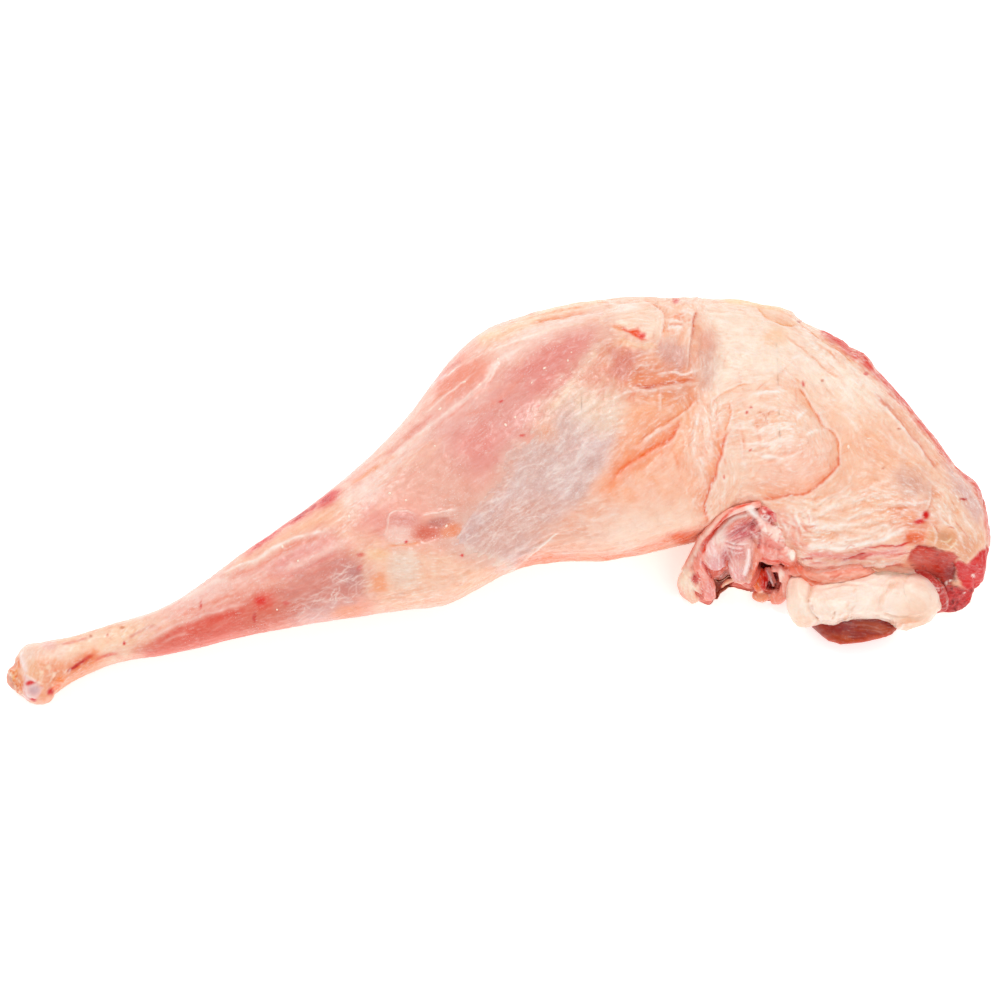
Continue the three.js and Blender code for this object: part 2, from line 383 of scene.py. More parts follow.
    def finish(self):
        """Presses the relief into the mesh and stores what was painted."""
        raised = self.points + self.outward * self.lift[:, None] + ahead * self.back[:, None]
        raised[:, 2] = np.maximum(raised[:, 2], 0)
        place_points(self.mesh, raised)
        opaque = np.ones((len(raised), 1))
        for name, values in (("tint", self.colour), ("kinds", self.kinds)):
            layer = self.mesh.attributes.new(name, "FLOAT_COLOR", "POINT")
            layer.data.foreach_set("color", np.hstack([values, opaque]).astype(np.float32).ravel())
        layer = self.mesh.attributes.new("wrinkled", "FLOAT", "POINT")
        layer.data.foreach_set("value", self.wrinkled.astype(np.float32))
        layer = self.mesh.attributes.new("way", "FLOAT_VECTOR", "POINT")
        layer.data.foreach_set("vector", self.way.astype(np.float32).ravel())
        self.mesh.shade_smooth()


# Colours as they look, from 0 to 255
SKIN_PEACH = (250, 203, 178)
WARM_PINK = (243, 176, 159)
ROSE = (228, 158, 150)
DEEP_ROSE = (228, 134, 126)
SALMON = (239, 150, 130)
SHANK_RED = (228, 112, 98)
PALE_PINK = (249, 207, 196)
MILKY = (253, 226, 214)
PEACH = (250, 198, 168)
CREAM = (251, 214, 184)
WHITE_FAT_AND_HIGHLIGHT = (255, 243, 234)
LILAC = (222, 178, 172)
MAUVE = (205, 148, 142)
ORANGE = (246, 160, 118)
RUST = (206, 104, 76)
BLOOD = (222, 62, 52)
DARK_BLOOD = (160, 38, 40)

# The film over the rump ends along this line, from the back down to the front of the thigh.
FILM_EDGE = [
    (64, 120), (58, 96), (53, 85), (47, 76), (41, 68.5), (35, 62), (28, 54.5), (20, 45), (16.5, 35),
    (15, 28.5), (4, 22), (1, 9.5), (-4.5, 3), (-13, -7), (-19, -15), (-22, -21), (-18, -26), (-5, -31),
    (5, -37), (8, -60),
]
UNDER_FILM = FILM_EDGE + [(300, -60), (300, 120)]

whole = merged_copy("hindquarter", "rounded_form")
even_skin(whole, ROUND_GRID)
smooth(whole.data, ROUND_PASSES)
leg = cut_from(whole, "shank_and_thigh", THIGH_GRID, THIGH_END, 1)
flat_base(leg.data)
LEG_GUIDES = [
    (-235, -85, 60), (-205, -75, 26), (-160, -62, 24), (-115, -44, 23), (-80, -42, 25), (-100, -20, 32),
    (-70, 4, 42), (-40, 45, 48), (-20, 20, 40), (8, 52, 42), (20, 70, 38), (20, 92, 18), (50, 100, 8),
    (-35, -40, 8), (-48, -12, 5),
]
flesh = Skin(leg.data, WARM_PINK, "muscle", LEG_GUIDES, wrinkled=0.25, sway=0.4)
flesh.colour += (tone(*SKIN_PEACH) - tone(*WARM_PINK)) * ease(flesh.points[:, 0], -60, 90)[:, None]
film_depth = flesh.seen * depth_inside(flesh.place, UNDER_FILM) + (1 - flesh.seen) * flesh.points[:, 0]
flesh.lift -= MUSCLE_SINK * ease(film_depth, 1, 14)
flesh.wrinkled += 0.2 * (1 - flesh.seen)
flesh.kinds[:, :2] = np.array([1, 0]) + (ease(film_depth, -40, 0) * (1 - flesh.seen))[:, None] * (-1, 1)

# Washes of colour: soft edge, colour, kind and outline
LEG_WASHES = [
    (7, PEACH, "fat", [(-248, -66), (-215, -64), (-188, -58), (-170, -56), (-163, -61), (-178, -73),
        (-195, -84), (-222, -106), (-250, -108)]),
    (6, (253, 222, 196), "fat", [(-222, -72), (-205, -67), (-185, -61), (-172, -61), (-176, -70),
        (-195, -75), (-215, -80)]),
    (5, PALE_PINK, "film", [(-176, -60), (-160, -48), (-140, -37), (-118, -29), (-98, -19), (-82, -15),
        (-88, -21), (-104, -29), (-124, -39), (-145, -50), (-160, -57)]),
    (3, SHANK_RED, "muscle", [(-181, -75), (-173, -70), (-158, -62.5), (-148, -58), (-138, -54.5),
        (-126, -51), (-116, -48), (-107, -52), (-112, -60), (-122, -68), (-136, -72), (-158, -80),
        (-176, -82)]),
    (4, PEACH, "fat", [(-136, -35), (-118, -22), (-100, -10), (-80, 4), (-70, 4), (-72, -8), (-84, -14),
        (-98, -17), (-116, -27)]),
    (4, (238, 166, 160), "muscle", [(-117, -34), (-103, -24), (-90, -18), (-80, -17), (-84, -22),
        (-96, -30), (-108, -36)]),
    (3, (216, 142, 132), "muscle", [(-110, -44), (-94, -32.5), (-85, -28), (-77.5, -24), (-74, -28),
        (-69, -30.5), (-67, -35), (-66, -41), (-69, -46), (-74, -50), (-85, -55), (-99, -59), (-114, -60)]),
    (4, MAUVE, "film", [(-80, -34), (-72, -32), (-67, -38), (-70, -45), (-78, -42)]),
    (4, LILAC, "film", [(-104, -60), (-88, -54), (-78, -53), (-84, -60), (-98, -64)]),
    (5, MILKY, "film", [(-82, 2), (-66, 14), (-50, 26), (-42, 22), (-52, 8), (-62, -2), (-74, -7)]),
    (3, (238, 164, 152), "muscle", [(-69, -4), (-60, -2), (-55, -8), (-57, -18), (-64, -20), (-70, -14)]),
    (5, (248, 204, 178), "fat", [(-80, -17), (-66, -18), (-52, -22), (-30, -24), (-8, -28), (6, -34),
        (0, -44), (-20, -52), (-48, -58), (-62, -57), (-65, -42), (-68, -28)]),
    (5, SALMON, "muscle", [(-42, 50), (-32, 62), (-18, 73), (-6, 76), (-2, 68), (-8, 59), (-16, 51),
        (-28, 44), (-38, 42)]),
    (6, ROSE, "muscle", [(-30, 38), (-12, 51), (2, 66), (20, 80), (44, 88), (56, 84), (50, 74), (40, 64),
        (28, 50), (20, 38), (12, 24), (0, 12), (-12, 6), (-24, 8), (-34, 20)]),
    (4, (230, 146, 137), "muscle", [(8, 64), (20, 79), (33, 85.5), (46.5, 87), (51, 80), (45, 73),
        (31.5, 59), (26, 54), (18, 53)]),
    (5, (234, 152, 142), "muscle", [(-20, 34), (-8, 38), (0, 31), (-5, 21), (-14, 19), (-24, 24)]),
    (6, (238, 182, 165), "muscle", [(-54, 18), (-36, 30), (-24, 24), (-16, 10), (-10, 0), (-20, -5),
        (-36, -3), (-54, 4)]),
    (6, (238, 186, 176), "muscle", [(-40, 42), (-20, 50), (-8, 52), (-14, 40), (-28, 32), (-44, 30)]),
    (6, (249, 206, 190), "muscle", [(-70, 20), (-50, 44), (-36, 56), (-30, 50), (-44, 32), (-60, 12)]),
    (6, (226, 170, 154), "film", [(-30, -3), (-14, 0), (-4, -6), (-2, -14), (-14, -24), (-30, -22)]),
    (5, (222, 124, 106), "muscle", [(-126, -52), (-112, -50), (-102, -54), (-104, -62), (-118, -70),
        (-132, -70)]),
    (5, (250, 216, 200), "fat", [(-14, 74), (0, 84), (20, 92), (44, 100), (60, 100), (50, 90), (30, 84),
        (12, 76), (0, 70)]),
]
for edge, colour, kind, outline in LEG_WASHES:
    flesh.patch(outline, edge * 1.8, colour=colour, kind=kind)

# The muscle shows paler where it goes under the film.
for colour, reach in (
    ((236, 186, 168), FILM_EDGE[1:10]),
    ((230, 188, 174), FILM_EDGE[9:15]),
    ((230, 188, 174), FILM_EDGE[13:19]),
):
    flesh.stroke(reach, 11, broken=0.4, taper=0.1, colour=colour, strength=0.7)

# Seams between muscles: width, rise, colour and path
LEG_SEAMS = [
    (5.5, -0.9, PALE_PINK, [(-32, 37), (-22, 46), (-11.5, 52.5), (-5, 60), (0.5, 69), (13, 77), (26, 84.5),
        (40, 89)]),
    (1.6, 0.4, WHITE_FAT_AND_HIGHLIGHT, [(-31, 38), (-22, 47), (-11.5, 53.5), (-5.5, 61), (0, 70), (13, 78)]),
    (5.0, -0.8, MILKY, [(-64, 11), (-47, 24.5), (-39, 32), (-31, 37.5)]),
    (2.0, -0.4, MILKY, [(-33, 59), (-27, 63), (-18, 68.5), (-5, 77)]),
    (2.4, -0.5, SHANK_RED, [(-60, 19), (-44, 33.5), (-31, 45.5)]),
    (1.4, 0.3, WHITE_FAT_AND_HIGHLIGHT, [(-58, 17), (-43, 31), (-30, 42)]),
    (2.6, -0.5, SALMON, [(-24, 40), (-8, 46), (6, 56), (14, 64)]),
    (1.8, 0.7, WHITE_FAT_AND_HIGHLIGHT, [(-142.5, -38.5), (-133, -34), (-121.5, -30), (-109, -22), (-96, -17),
        (-88.5, -16), (-82, -16.5)]),
    (2.6, -0.7, SALMON, [(-140, -41), (-121, -33), (-108, -25), (-95, -19.5), (-84, -19)]),
    (4.0, 0.5, PALE_PINK, [(-111, -37), (-99.5, -32), (-89, -26), (-79, -21.5), (-72, -19)]),
    (2.4, -0.7, DEEP_ROSE, [(-110, -40), (-98, -35), (-88, -29.5), (-79, -25)]),
    (2.4, -0.3, SALMON, [(-172, -62), (-158, -56), (-138, -49), (-122, -45)]),
    (1.8, 0.3, PALE_PINK, [(-184, -72.5), (-173, -64), (-164, -58.5), (-153, -53)]),
    (1.6, 0.3, PALE_PINK, [(-169.5, -71.5), (-164, -69), (-160.5, -68), (-155.5, -65.5)]),
    (2.0, -0.3, ROSE, [(-187, -70), (-178, -65), (-172, -62)]),
    (2.6, 0.5, MILKY, [(-166, -50), (-156, -48), (-146, -43), (-134, -38)]),
    (1.8, 0.3, PALE_PINK, [(-181, -71.5), (-169.5, -66.3), (-159.8, -61.4), (-148.8, -57.8),
        (-136.6, -54.2), (-122, -50)]),
    (3.0, -0.3, (226, 100, 88), [(-178, -74.4), (-169.5, -70), (-159.8, -65.4), (-148.8, -61.6),
        (-136.6, -58), (-124, -54)]),
    (2.0, 0.3, MILKY, [(-194, -63), (-182, -59.5), (-170, -54.5), (-160, -50)]),
]
for width, rise, colour, path in LEG_SEAMS:
    on_shank = path[0][0] < -78
    flesh.stroke(
        path, width * (1.1 if on_shank else 1.5), broken=0.4, colour=colour,
        strength=0.75 if on_shank else 0.42, rise=rise * 0.7,
    )

# Blood along the upper edge of the shank
flesh.stroke(
    [(-131, -29.5), (-117, -19), (-104.5, -10), (-98, -6.3), (-89, -1), (-83, 3.3), (-76, 7)], 4.5,
    broken=0.5, colour=BLOOD, strength=1.0, kind="muscle",
)
flesh.stroke([(-106, -11), (-98, -6), (-90, -1)], 1.5, broken=0.6, colour=DARK_BLOOD, strength=0.4)
flesh.stroke([(-77, 6.5), (-69.5, 11), (-60, 17.5), (-50, 24)], 2.2, broken=0.6, colour=ORANGE)

# The hock: fringe, pale band round the knob, cut facet of the joint and granular fat, the fat more orange
# on its lower side with painted shade; as soft edge, colour and outline
HOCK_WASHES = [
    (2, (249, 214, 196), [(-243, -73), (-236, -68), (-222, -69), (-214, -74), (-222, -82), (-234, -86),
        (-241, -82)]),
    (2, (245, 186, 150), [(-236, -80), (-226, -78.5), (-218, -82), (-216, -90), (-222, -97), (-232, -92),
        (-237, -87)]),
    (3, (242, 166, 132), [(-231, -79), (-222, -81), (-212, -80), (-203, -76), (-197, -79), (-205, -87),
        (-214, -93), (-222, -100), (-232, -103), (-228, -92)]),
    (1, (244, 164, 124), [(-241.7, -84.5), (-245.2, -86.6), (-244, -90), (-241.6, -94), (-240.8, -98),
        (-239, -100.5), (-238.4, -97), (-239.2, -88)]),
    (1, (246, 200, 196), [(-238.5, -87), (-232, -91), (-228.6, -93), (-229.6, -97), (-232, -100),
        (-237, -100.5), (-239, -98)]),
]
for edge, colour, outline in HOCK_WASHES:
    flesh.patch(outline, edge, colour=colour, strength=0.9, kind="fat")

# The bladder of film with painted highlights along its rim, and the red hollow behind the kneecap
flesh.spot((-48, -10.5), (8.5, 5), 5, colour=(228, 158, 148), strength=0.9, kind="film", rise=1.3)
flesh.spot((-51, -17.5), (7.5, 4), 0, colour=(248, 210, 198), strength=0.8, kind="film", rise=0.7)
flesh.spot((-36.5, -16), (7.5, 4.6), 10, colour=(218, 112, 94), strength=0.85, kind="muscle", rise=-1.0)
flesh.spot((-30.5, -11.3), (6, 2.6), 5, colour=(208, 138, 128), strength=0.9, rise=-0.8)
flesh.spot((-24, -15), (5, 3.5), 15, colour=(240, 152, 116), strength=0.9)
# Painted highlights along the rim of the bladder
for path in (
    [(-58.5, -19), (-56.2, -13.5), (-55.5, -9), (-53, -6), (-49.2, -5.2), (-44.7, -6.5), (-41, -9)],
    [(-41, -9), (-34.5, -6.8), (-27, -5.5), (-20, -5.5)],
):
    flesh.stroke(path, 1.1, broken=0.3, taper=0.25, colour=MILKY, strength=0.85, rise=0.5)
flesh.stroke([(-57, -22.5), (-47, -22), (-39.4, -21)], 1.6, colour=ORANGE, rise=-0.5)

# Fine bundles along the shank and in the thigh: middle, half size, turn, count, length, width, colours,
# seed, spread of the turns, rise and strength
LEG_FIBRES = [
    ((-115, -44), (62, 13), 23, 120, 24, 1.3, [SHANK_RED, PALE_PINK, WARM_PINK, SALMON], 3, 6, 0.12, 0.2),
    ((-60, 10), (40, 10), 40, 60, 22, 1.4, [PEACH, MILKY, SALMON], 4, 6, 0.12, 0.25),
    ((8, 52), (52, 26), 42, 200, 5, 0.7, [PALE_PINK, MILKY, WHITE_FAT_AND_HIGHLIGHT], 5, 40, 0.12, 0.28),
    ((-76, -42), (14, 9), 25, 60, 9, 0.55, [WHITE_FAT_AND_HIGHLIGHT, MILKY, WHITE_FAT_AND_HIGHLIGHT], 6, 35, 0.1, 0.5),
    ((-92, -52), (12, 6), 20, 40, 9, 0.55, [WHITE_FAT_AND_HIGHLIGHT, MILKY], 8, 25, 0.1, 0.4),
    ((-35, -40), (28, 12), 8, 60, 16, 1.6, [ORANGE, MILKY, CREAM, PEACH], 7, 12, 0.15, 0.3),
]
for bundle in LEG_FIBRES:
    flesh.fibres(*bundle)

# Fat along the top of the thigh
flesh.stroke(
    [(-13, 78), (-2, 82.5), (8, 86), (18, 90.5), (28, 94.5), (40, 98), (56, 101)], 8, broken=0.2,
    taper=0.08, colour=CREAM, strength=1.0, kind="fat", rise=1.0,
)
flesh.stroke([(14, 87), (24, 90), (36, 92.5), (46, 95)], 1.6, colour=ORANGE, rise=-0.6)
flesh.stroke(
    [(2, 78), (14, 83), (28, 88.5), (44, 93), (60, 97)], 4, colour=MILKY, strength=0.7, kind="film",
)

# How wrinkled it is in places: soft edge, amount and outline
LEG_WRINKLES = [
    (6, 0.75, [(-14, 72), (0, 84), (30, 96), (60, 104), (80, 104), (60, 92), (30, 84), (6, 76)]),
    (5, 0.5, [(-70, -20), (-40, -22), (0, -32), (4, -44), (-40, -60), (-66, -50)]),
    (5, 0.5, [(-248, -66), (-210, -64), (-180, -62), (-180, -74), (-210, -90), (-236, -104), (-250, -96)]),
    (6, 0.5, [(-180, -66), (-130, -36), (-84, -8), (-60, 18), (-52, 10), (-80, -20), (-130, -48),
        (-170, -66)]),
]
for edge, amount, outline in LEG_WRINKLES:
    flesh.patch(outline, edge, wrinkled=amount)
flesh.fold(22, 3.2, 51, 0.2, 0.2, 0.45)
flesh.fold(8, 1.4, 52, 0.1, 0.25, 0.35)
flesh.lift += 0.25 * clouds(flesh.points, 10, 3) + 0.1 * clouds(flesh.points, 3.5, 4)

# Fine seams on top of the folds: width, colour, strength and path
LEG_LINES = [
    (6.0, (244, 208, 184), 0.6, [(52, 80), (44, 68), (38, 60), (33, 54), (27, 47), (21, 41.5)]),
    (2.4, (220, 126, 116), 0.5, [(40, 70), (34, 62), (28, 56), (21, 49)]),
    (1.6, MILKY, 0.7, [(-38.5, 33.8), (-28, 43), (-15.4, 53), (-8, 60), (-2, 68.5), (6, 74), (18, 80)]),
    (2.0, (236, 140, 116), 0.5, [(-36, 33), (-26, 41.5), (-14, 51), (-6, 58.6), (0.4, 67)]),
    (1.2, MILKY, 0.7, [(-40, 41), (-30, 50), (-20, 58), (-10, 66)]),
    (1.4, (238, 148, 122), 0.6, [(-44, 40), (-34, 49), (-24, 57)]),
    (1.0, WHITE_FAT_AND_HIGHLIGHT, 0.7, [(-36, 55), (-28, 62), (-19, 67)]),
    (3.0, (222, 138, 134), 0.5, [(-34, 57), (-26, 65), (-18, 71)]),
    (2.0, (250, 222, 204), 0.6, [(6, 78), (20, 84), (34, 87.5), (46, 89)]),
    (1.0, WHITE_FAT_AND_HIGHLIGHT, 0.6, [(-6, 74), (8, 79.4), (22, 85)]),
    (1.2, ORANGE, 0.6, [(10, 89), (22, 92), (34, 95), (48, 97.6)]),
]
for width, colour, strength, path in LEG_LINES:
    flesh.stroke(path, width, broken=0.5, colour=colour, strength=strength)

# Marks on top of the folds: place, half size, turn, colour and strength
LEG_SPOTS = [
    ((-85.4, 0.8), (6, 3.2), 35, BLOOD, 0.8),
    ((-86.6, 0), (2.4, 1.2), 35, DARK_BLOOD, 0.3),
    ((-118.6, -50.6), (5.6, 4.4), 20, (230, 84, 72), 0.45),
    ((-119.4, -50.4), (2.6, 1.9), 0, (228, 52, 46), 0.7),
    ((-107.2, -51.4), (2, 1.4), 0, BLOOD, 0.5),
    ((-122.5, -58.5), (0.8, 2.4), 0, (206, 40, 44), 0.7),
    ((-149.9, -52.5), (0.7, 2.6), -10, BLOOD, 0.7),
    ((-188, -71.8), (0.8, 0.8), 0, BLOOD, 1.0),
    ((-195.5, -77.8), (3.4, 0.8), 6, BLOOD, 0.8),
    ((-196, -68), (0.7, 0.9), 0, RUST, 0.8),
    ((-189, -64), (1.2, 0.7), 0, RUST, 0.6),
    ((-146, -63), (20, 5), 17, (226, 98, 84), 0.4),
    ((-69.5, -27.6), (2.4, 1.0), 0, BLOOD, 0.6),
    ((-70, -33.7), (2.0, 1.2), 40, BLOOD, 0.5),
    ((-72.5, -35.6), (3, 2.2), 0, (196, 130, 126), 0.6),
    # Painted shade under the knee, on its underside
    ((-75.5, -56), (10, 3.2), 8, (236, 158, 126), 0.8),
    ((-60, -41.5), (3.4, 6), 10, ORANGE, 0.7),
    ((-61.5, -27.5), (6, 3.4), 0, (251, 206, 168), 0.6),
    ((-48, -34), (8, 10), 10, (240, 216, 200), 0.8),
    ((-46.7, -20.4), (0.9, 0.9), 0, BLOOD, 0.9),
    ((-19, -27.4), (0.8, 0.8), 0, BLOOD, 0.9),
    ((11, 32.5), (1.4, 0.8), 0, BLOOD, 0.7),
    ((0.6, 49.8), (1.6, 0.7), 20, BLOOD, 0.7),
    ((19.4, 47.2), (1.2, 0.8), 0, BLOOD, 0.6),
    ((15, 93), (2.2, 1.4), 0, RUST, 0.7),
]
for place, half, turn, colour, strength in LEG_SPOTS:
    flesh.spot(place, half, turn, colour=colour, strength=strength)

# Marks at the hock: place, half size, turn, colour, strength and rise
HOCK_SPOTS = [
    ((-246.5, -91.5), (2.6, 4.6), 20, None, 0.0, -2.6),
    ((-232.8, -94.8), (2.8, 2.4), 10, (208, 170, 174), 0.8, -0.4),
    ((-234.6, -91), (2.8, 1.1), 14, (226, 60, 46), 1.0, 0.0),
    ((-233.4, -99.8), (1.8, 0.9), -10, (226, 60, 40), 1.0, 0.0),
    ((-224.6, -95.8), (1.5, 2.0), -20, (214, 20, 26), 1.0, 0.0),
    ((-222, -93.6), (2.4, 1.2), 20, (240, 128, 92), 0.9, 0.2),
    ((-219.9, -89.8), (2.0, 1.6), 10, (242, 140, 88), 0.9, 0.5),
    ((-226.2, -84), (1.6, 1.3), 0, (252, 218, 190), 0.9, 0.3),
    ((-229.6, -86.6), (1.2, 1.0), 0, (251, 216, 188), 0.9, 0.3),
    ((-223, -87.6), (1.0, 1.4), 0, (251, 212, 184), 0.8, 0.3),
    ((-225.4, -72.4), (4, 2.6), 0, (240, 194, 194), 0.5, 0.0),
    ((-245, -82.4), (2.4, 1.9), 0, None, 0.0, -2.6),
    ((-245.4, -95.5), (2.6, 2.6), 20, None, 0.0, -1.6),
    ((-243, -89), (1.0, 1.2), 0, (252, 190, 110), 0.9, 0.4),
    ((-241.4, -92.6), (0.9, 1.2), 0, (226, 96, 62), 0.9, -0.3),
    ((-204.4, -67.8), (0.9, 0.8), 0, RUST, 0.7, 0.0),
]
for place, half, turn, colour, strength, rise in HOCK_SPOTS:
    flesh.spot(place, half, turn, colour=colour, strength=strength, rise=rise)

# Lines at the hock: width, rise, colour and path
HOCK_LINES = [
    (1.8, -0.5, (238, 134, 92), [(-241.8, -77.6), (-241, -81), (-239.6, -85)]),
    (2.6, 0.5, (253, 232, 228), [(-239.6, -74.6), (-239, -79), (-237.6, -84), (-235.8, -87.4)]),
    (1.4, 0.8, (253, 226, 218), [(-238.6, -86.8), (-234, -89), (-229, -91.6)]),
    (1.2, 0.6, (253, 228, 222), [(-237.4, -96.2), (-234.6, -98), (-231.6, -99.2)]),
    (7.0, 0.0, (243, 150, 112), [(-214, -83), (-208, -79.4), (-203.6, -76.6), (-200, -73.6)]),
    (3.0, -0.2, (216, 74, 66), [(-217.4, -86.2), (-213.9, -84.3), (-209.7, -81.8), (-206.2, -79.4),
        (-202, -75.6)]),
    (1.4, 0.0, (186, 52, 70), [(-217.4, -86.2), (-214, -84.4), (-210.4, -82.2), (-207, -80)]),
    (2.4, 0.0, (238, 136, 116), [(-204.3, -80.9), (-198.8, -78.2), (-195, -77.4), (-190, -76.6)]),
    (1.8, 0.0, (240, 164, 150), [(-221, -72.2), (-214.9, -71.2), (-209.7, -69.6), (-204.4, -67.8)]),
]
for width, rise, colour, path in HOCK_LINES:
    flesh.stroke(path, width, broken=0.3, taper=0.25, colour=colour, strength=0.9, rise=rise)
HOCK_FIBRES = [
    ((-241.8, -91), (7, 2.2), -68, 60, 2.4, 0.8, [(238, 112, 66), (255, 230, 208), (246, 166, 104)], 16, 40,
        0.3, 0.9),
    ((-224, -88), (9, 7), 20, 70, 2.4, 0.9, [(238, 128, 84), (254, 226, 204), (244, 158, 120)], 18, 60,
        0.25, 0.6),
]
for bundle in HOCK_FIBRES:
    flesh.fibres(*bundle)

flesh.finish()


def add(tree, kind, inputs=None, **settings):
    """A new node with its settings, its values and the sockets that feed it."""
    made = tree.nodes.new(kind)
    for name, value in settings.items():
        setattr(made, name, value)
    for name, value in (inputs or {}).items():
        if isinstance(value, bpy.types.NodeSocket):
            tree.links.new(value, made.inputs[name])
        else:
            made.inputs[name].default_value = value
    return made


def new_group(name, inputs, outputs):
    """An empty shader node group with named sockets, and the sockets at its two ends."""
    group = bpy.data.node_groups.new(name, "ShaderNodeTree")
    for socket, kind in inputs:
        group.interface.new_socket(socket, in_out="INPUT", socket_type=kind)
    for socket, kind in outputs:
        group.interface.new_socket(socket, in_out="OUTPUT", socket_type=kind)
    return group, group.nodes.new("NodeGroupInput").outputs, group.nodes.new("NodeGroupOutput").inputs


# Hair-fine folds are drawn out by this step along the way of the tissue.
RUN_STEP = 0.0007


def moist_tissue():
    """Fine finish of raw tissue: mottling, hair-fine folds along its way with painted highlights and painted
    shade, wisps and tiny painted glints.
    """
    group, given, result = new_group(
        "moist tissue",
        [("Tint", "NodeSocketColor"), ("Kinds", "NodeSocketColor"), ("Wrinkled", "NodeSocketFloat"),
         ("Way", "NodeSocketVector"), ("Place", "NodeSocketVector")],
        [("Colour", "NodeSocketColor"), ("Roughness", "NodeSocketFloat"), ("Height", "NodeSocketFloat")],
    )

    def cloud(place, scale, detail, **more):
        inputs = {"Vector": place, "Scale": scale, "Detail": detail, **more}
        return add(group, "ShaderNodeTexNoise", inputs).outputs[0]

    def ramp(value, low, high, to_low, to_high):
        inputs = {"Value": value, "From Min": low, "From Max": high, "To Min": to_low, "To Max": to_high}
        return add(group, "ShaderNodeMapRange", inputs).outputs[0]

    def sum_of(operation, *values):
        return add(group, "ShaderNodeMath", dict(enumerate(values)), operation=operation).outputs[0]

    def blend(share, first, second, kind="MIX"):
        inputs = {"Factor": share, "A": first, "B": second}
        return add(group, "ShaderNodeMix", inputs, data_type="RGBA", blend_type=kind).outputs["Result"]

    muscle, fat, film = add(group, "ShaderNodeSeparateColor", {"Color": given["Kinds"]}).outputs
    mottle = cloud(given["Place"], 170.0, 6.0)
    patches = cloud(given["Place"], 60.0, 3.0)
    runs = 0.0
    for step in (-1, 0, 1):
        inputs = {0: given["Way"], 1: (step * RUN_STEP,) * 3, 2: given["Place"]}
        shifted = add(group, "ShaderNodeVectorMath", inputs, operation="MULTIPLY_ADD")
        runs = sum_of("ADD", cloud(shifted.outputs[0], 900.0, 2.0), runs)
    amount = sum_of("MULTIPLY", ramp(patches, 0.35, 0.6, 0.3, 1.0), given["Wrinkled"])
    # Crests of the hair-fine folds get a painted highlight and their valleys painted shade.
    crest = sum_of("MULTIPLY", ramp(runs, 1.56, 1.95, 0.0, 0.8), amount)
    valley = sum_of("MULTIPLY", ramp(runs, 1.44, 1.05, 0.0, 1.0), amount)
    warmth = ramp(cloud(given["Place"], 110.0, 6.0, Roughness=0.62, Distortion=0.6), 0.3, 0.7, 0.12, -0.1)
    saturation = sum_of("MULTIPLY_ADD", warmth, fat, 1.0)
    warmed = add(group, "ShaderNodeHueSaturation", {"Color": given["Tint"], "Saturation": saturation})
    cast = blend(ramp(mottle, 0.3, 0.7, 0.0, 1.0), (0.96, 0.91, 0.89, 1.0), (1.02, 1.06, 1.07, 1.0))
    shaded = blend(1.0, warmed.outputs[0], cast, "MULTIPLY")
    creased = blend(valley, shaded, (0.96, 0.74, 0.62, 1.0), "MULTIPLY")
    crested = blend(crest, creased, (1.0, 0.94, 0.9, 1.0))
    wisps = cloud(given["Place"], 240.0, 6.0, Distortion=2.5)
    off_middle = sum_of("ABSOLUTE", sum_of("SUBTRACT", wisps, 0.5))
    wisp_share = sum_of("MULTIPLY", ramp(off_middle, 0.0, 0.03, 0.25, 0.0), film)
    wispy = blend(wisp_share, crested, (1.0, 0.93, 0.9, 1.0))
    bare = sum_of("ADD", muscle, film)
    glint = sum_of("MULTIPLY", ramp(cloud(given["Place"], 1500.0, 1.0), 0.66, 0.74, 0.0, 0.7), bare)
    glint_share = sum_of("MULTIPLY", glint, ramp(patches, 0.45, 0.65, 0.1, 1.0))
    colour = blend(glint_share, wispy, (1.0, 0.95, 0.92, 1.0))
    uneven = cloud(given["Place"], 420.0, 4.0, Distortion=1.4)
    height = sum_of("MULTIPLY_ADD", runs, sum_of("MULTIPLY", amount, 0.6), uneven)
    group.links.new(colour, result["Colour"])
    group.links.new(ramp(mottle, 0.3, 0.7, 0.22, 0.4), result["Roughness"])
    group.links.new(height, result["Height"])
    return group


tissue = moist_tissue()


def tissue_material(name, bump, coat, glow):
    """A moist tissue finish for a painted piece."""
    material = bpy.data.materials.new(name)
    material.use_nodes = True
    tree = material.node_tree
    shader = tree.nodes["Principled BSDF"]
    painted = {layer: add(tree, "ShaderNodeAttribute", attribute_name=layer)
               for layer in ("tint", "kinds", "wrinkled", "way")}
    place = add(tree, "ShaderNodeTexCoord")
    grained = add(tree, "ShaderNodeGroup", {
        "Tint": painted["tint"].outputs["Color"],
        "Kinds": painted["kinds"].outputs["Color"],
        "Wrinkled": painted["wrinkled"].outputs["Fac"],
        "Way": painted["way"].outputs["Vector"],
        "Place": place.outputs["Object"],
    }, node_tree=tissue)
    height = grained.outputs["Height"]
    relief = add(tree, "ShaderNodeBump", {"Height": height, "Strength": bump, "Distance": 0.0006})
    tree.links.new(grained.outputs["Colour"], shader.inputs["Base Color"])
    tree.links.new(grained.outputs["Roughness"], shader.inputs["Roughness"])
    tree.links.new(relief.outputs["Normal"], shader.inputs["Normal"])
    for socket, value in {
        "Specular IOR Level": 0.26,
        "Coat Weight": coat,
        "Coat Roughness": 0.2,
        "Subsurface Weight": glow,
        "Subsurface Radius": (1.0, 0.45, 0.3),
        "Subsurface Scale": 0.001,
    }.items():
        shader.inputs[socket].default_value = value
    return material


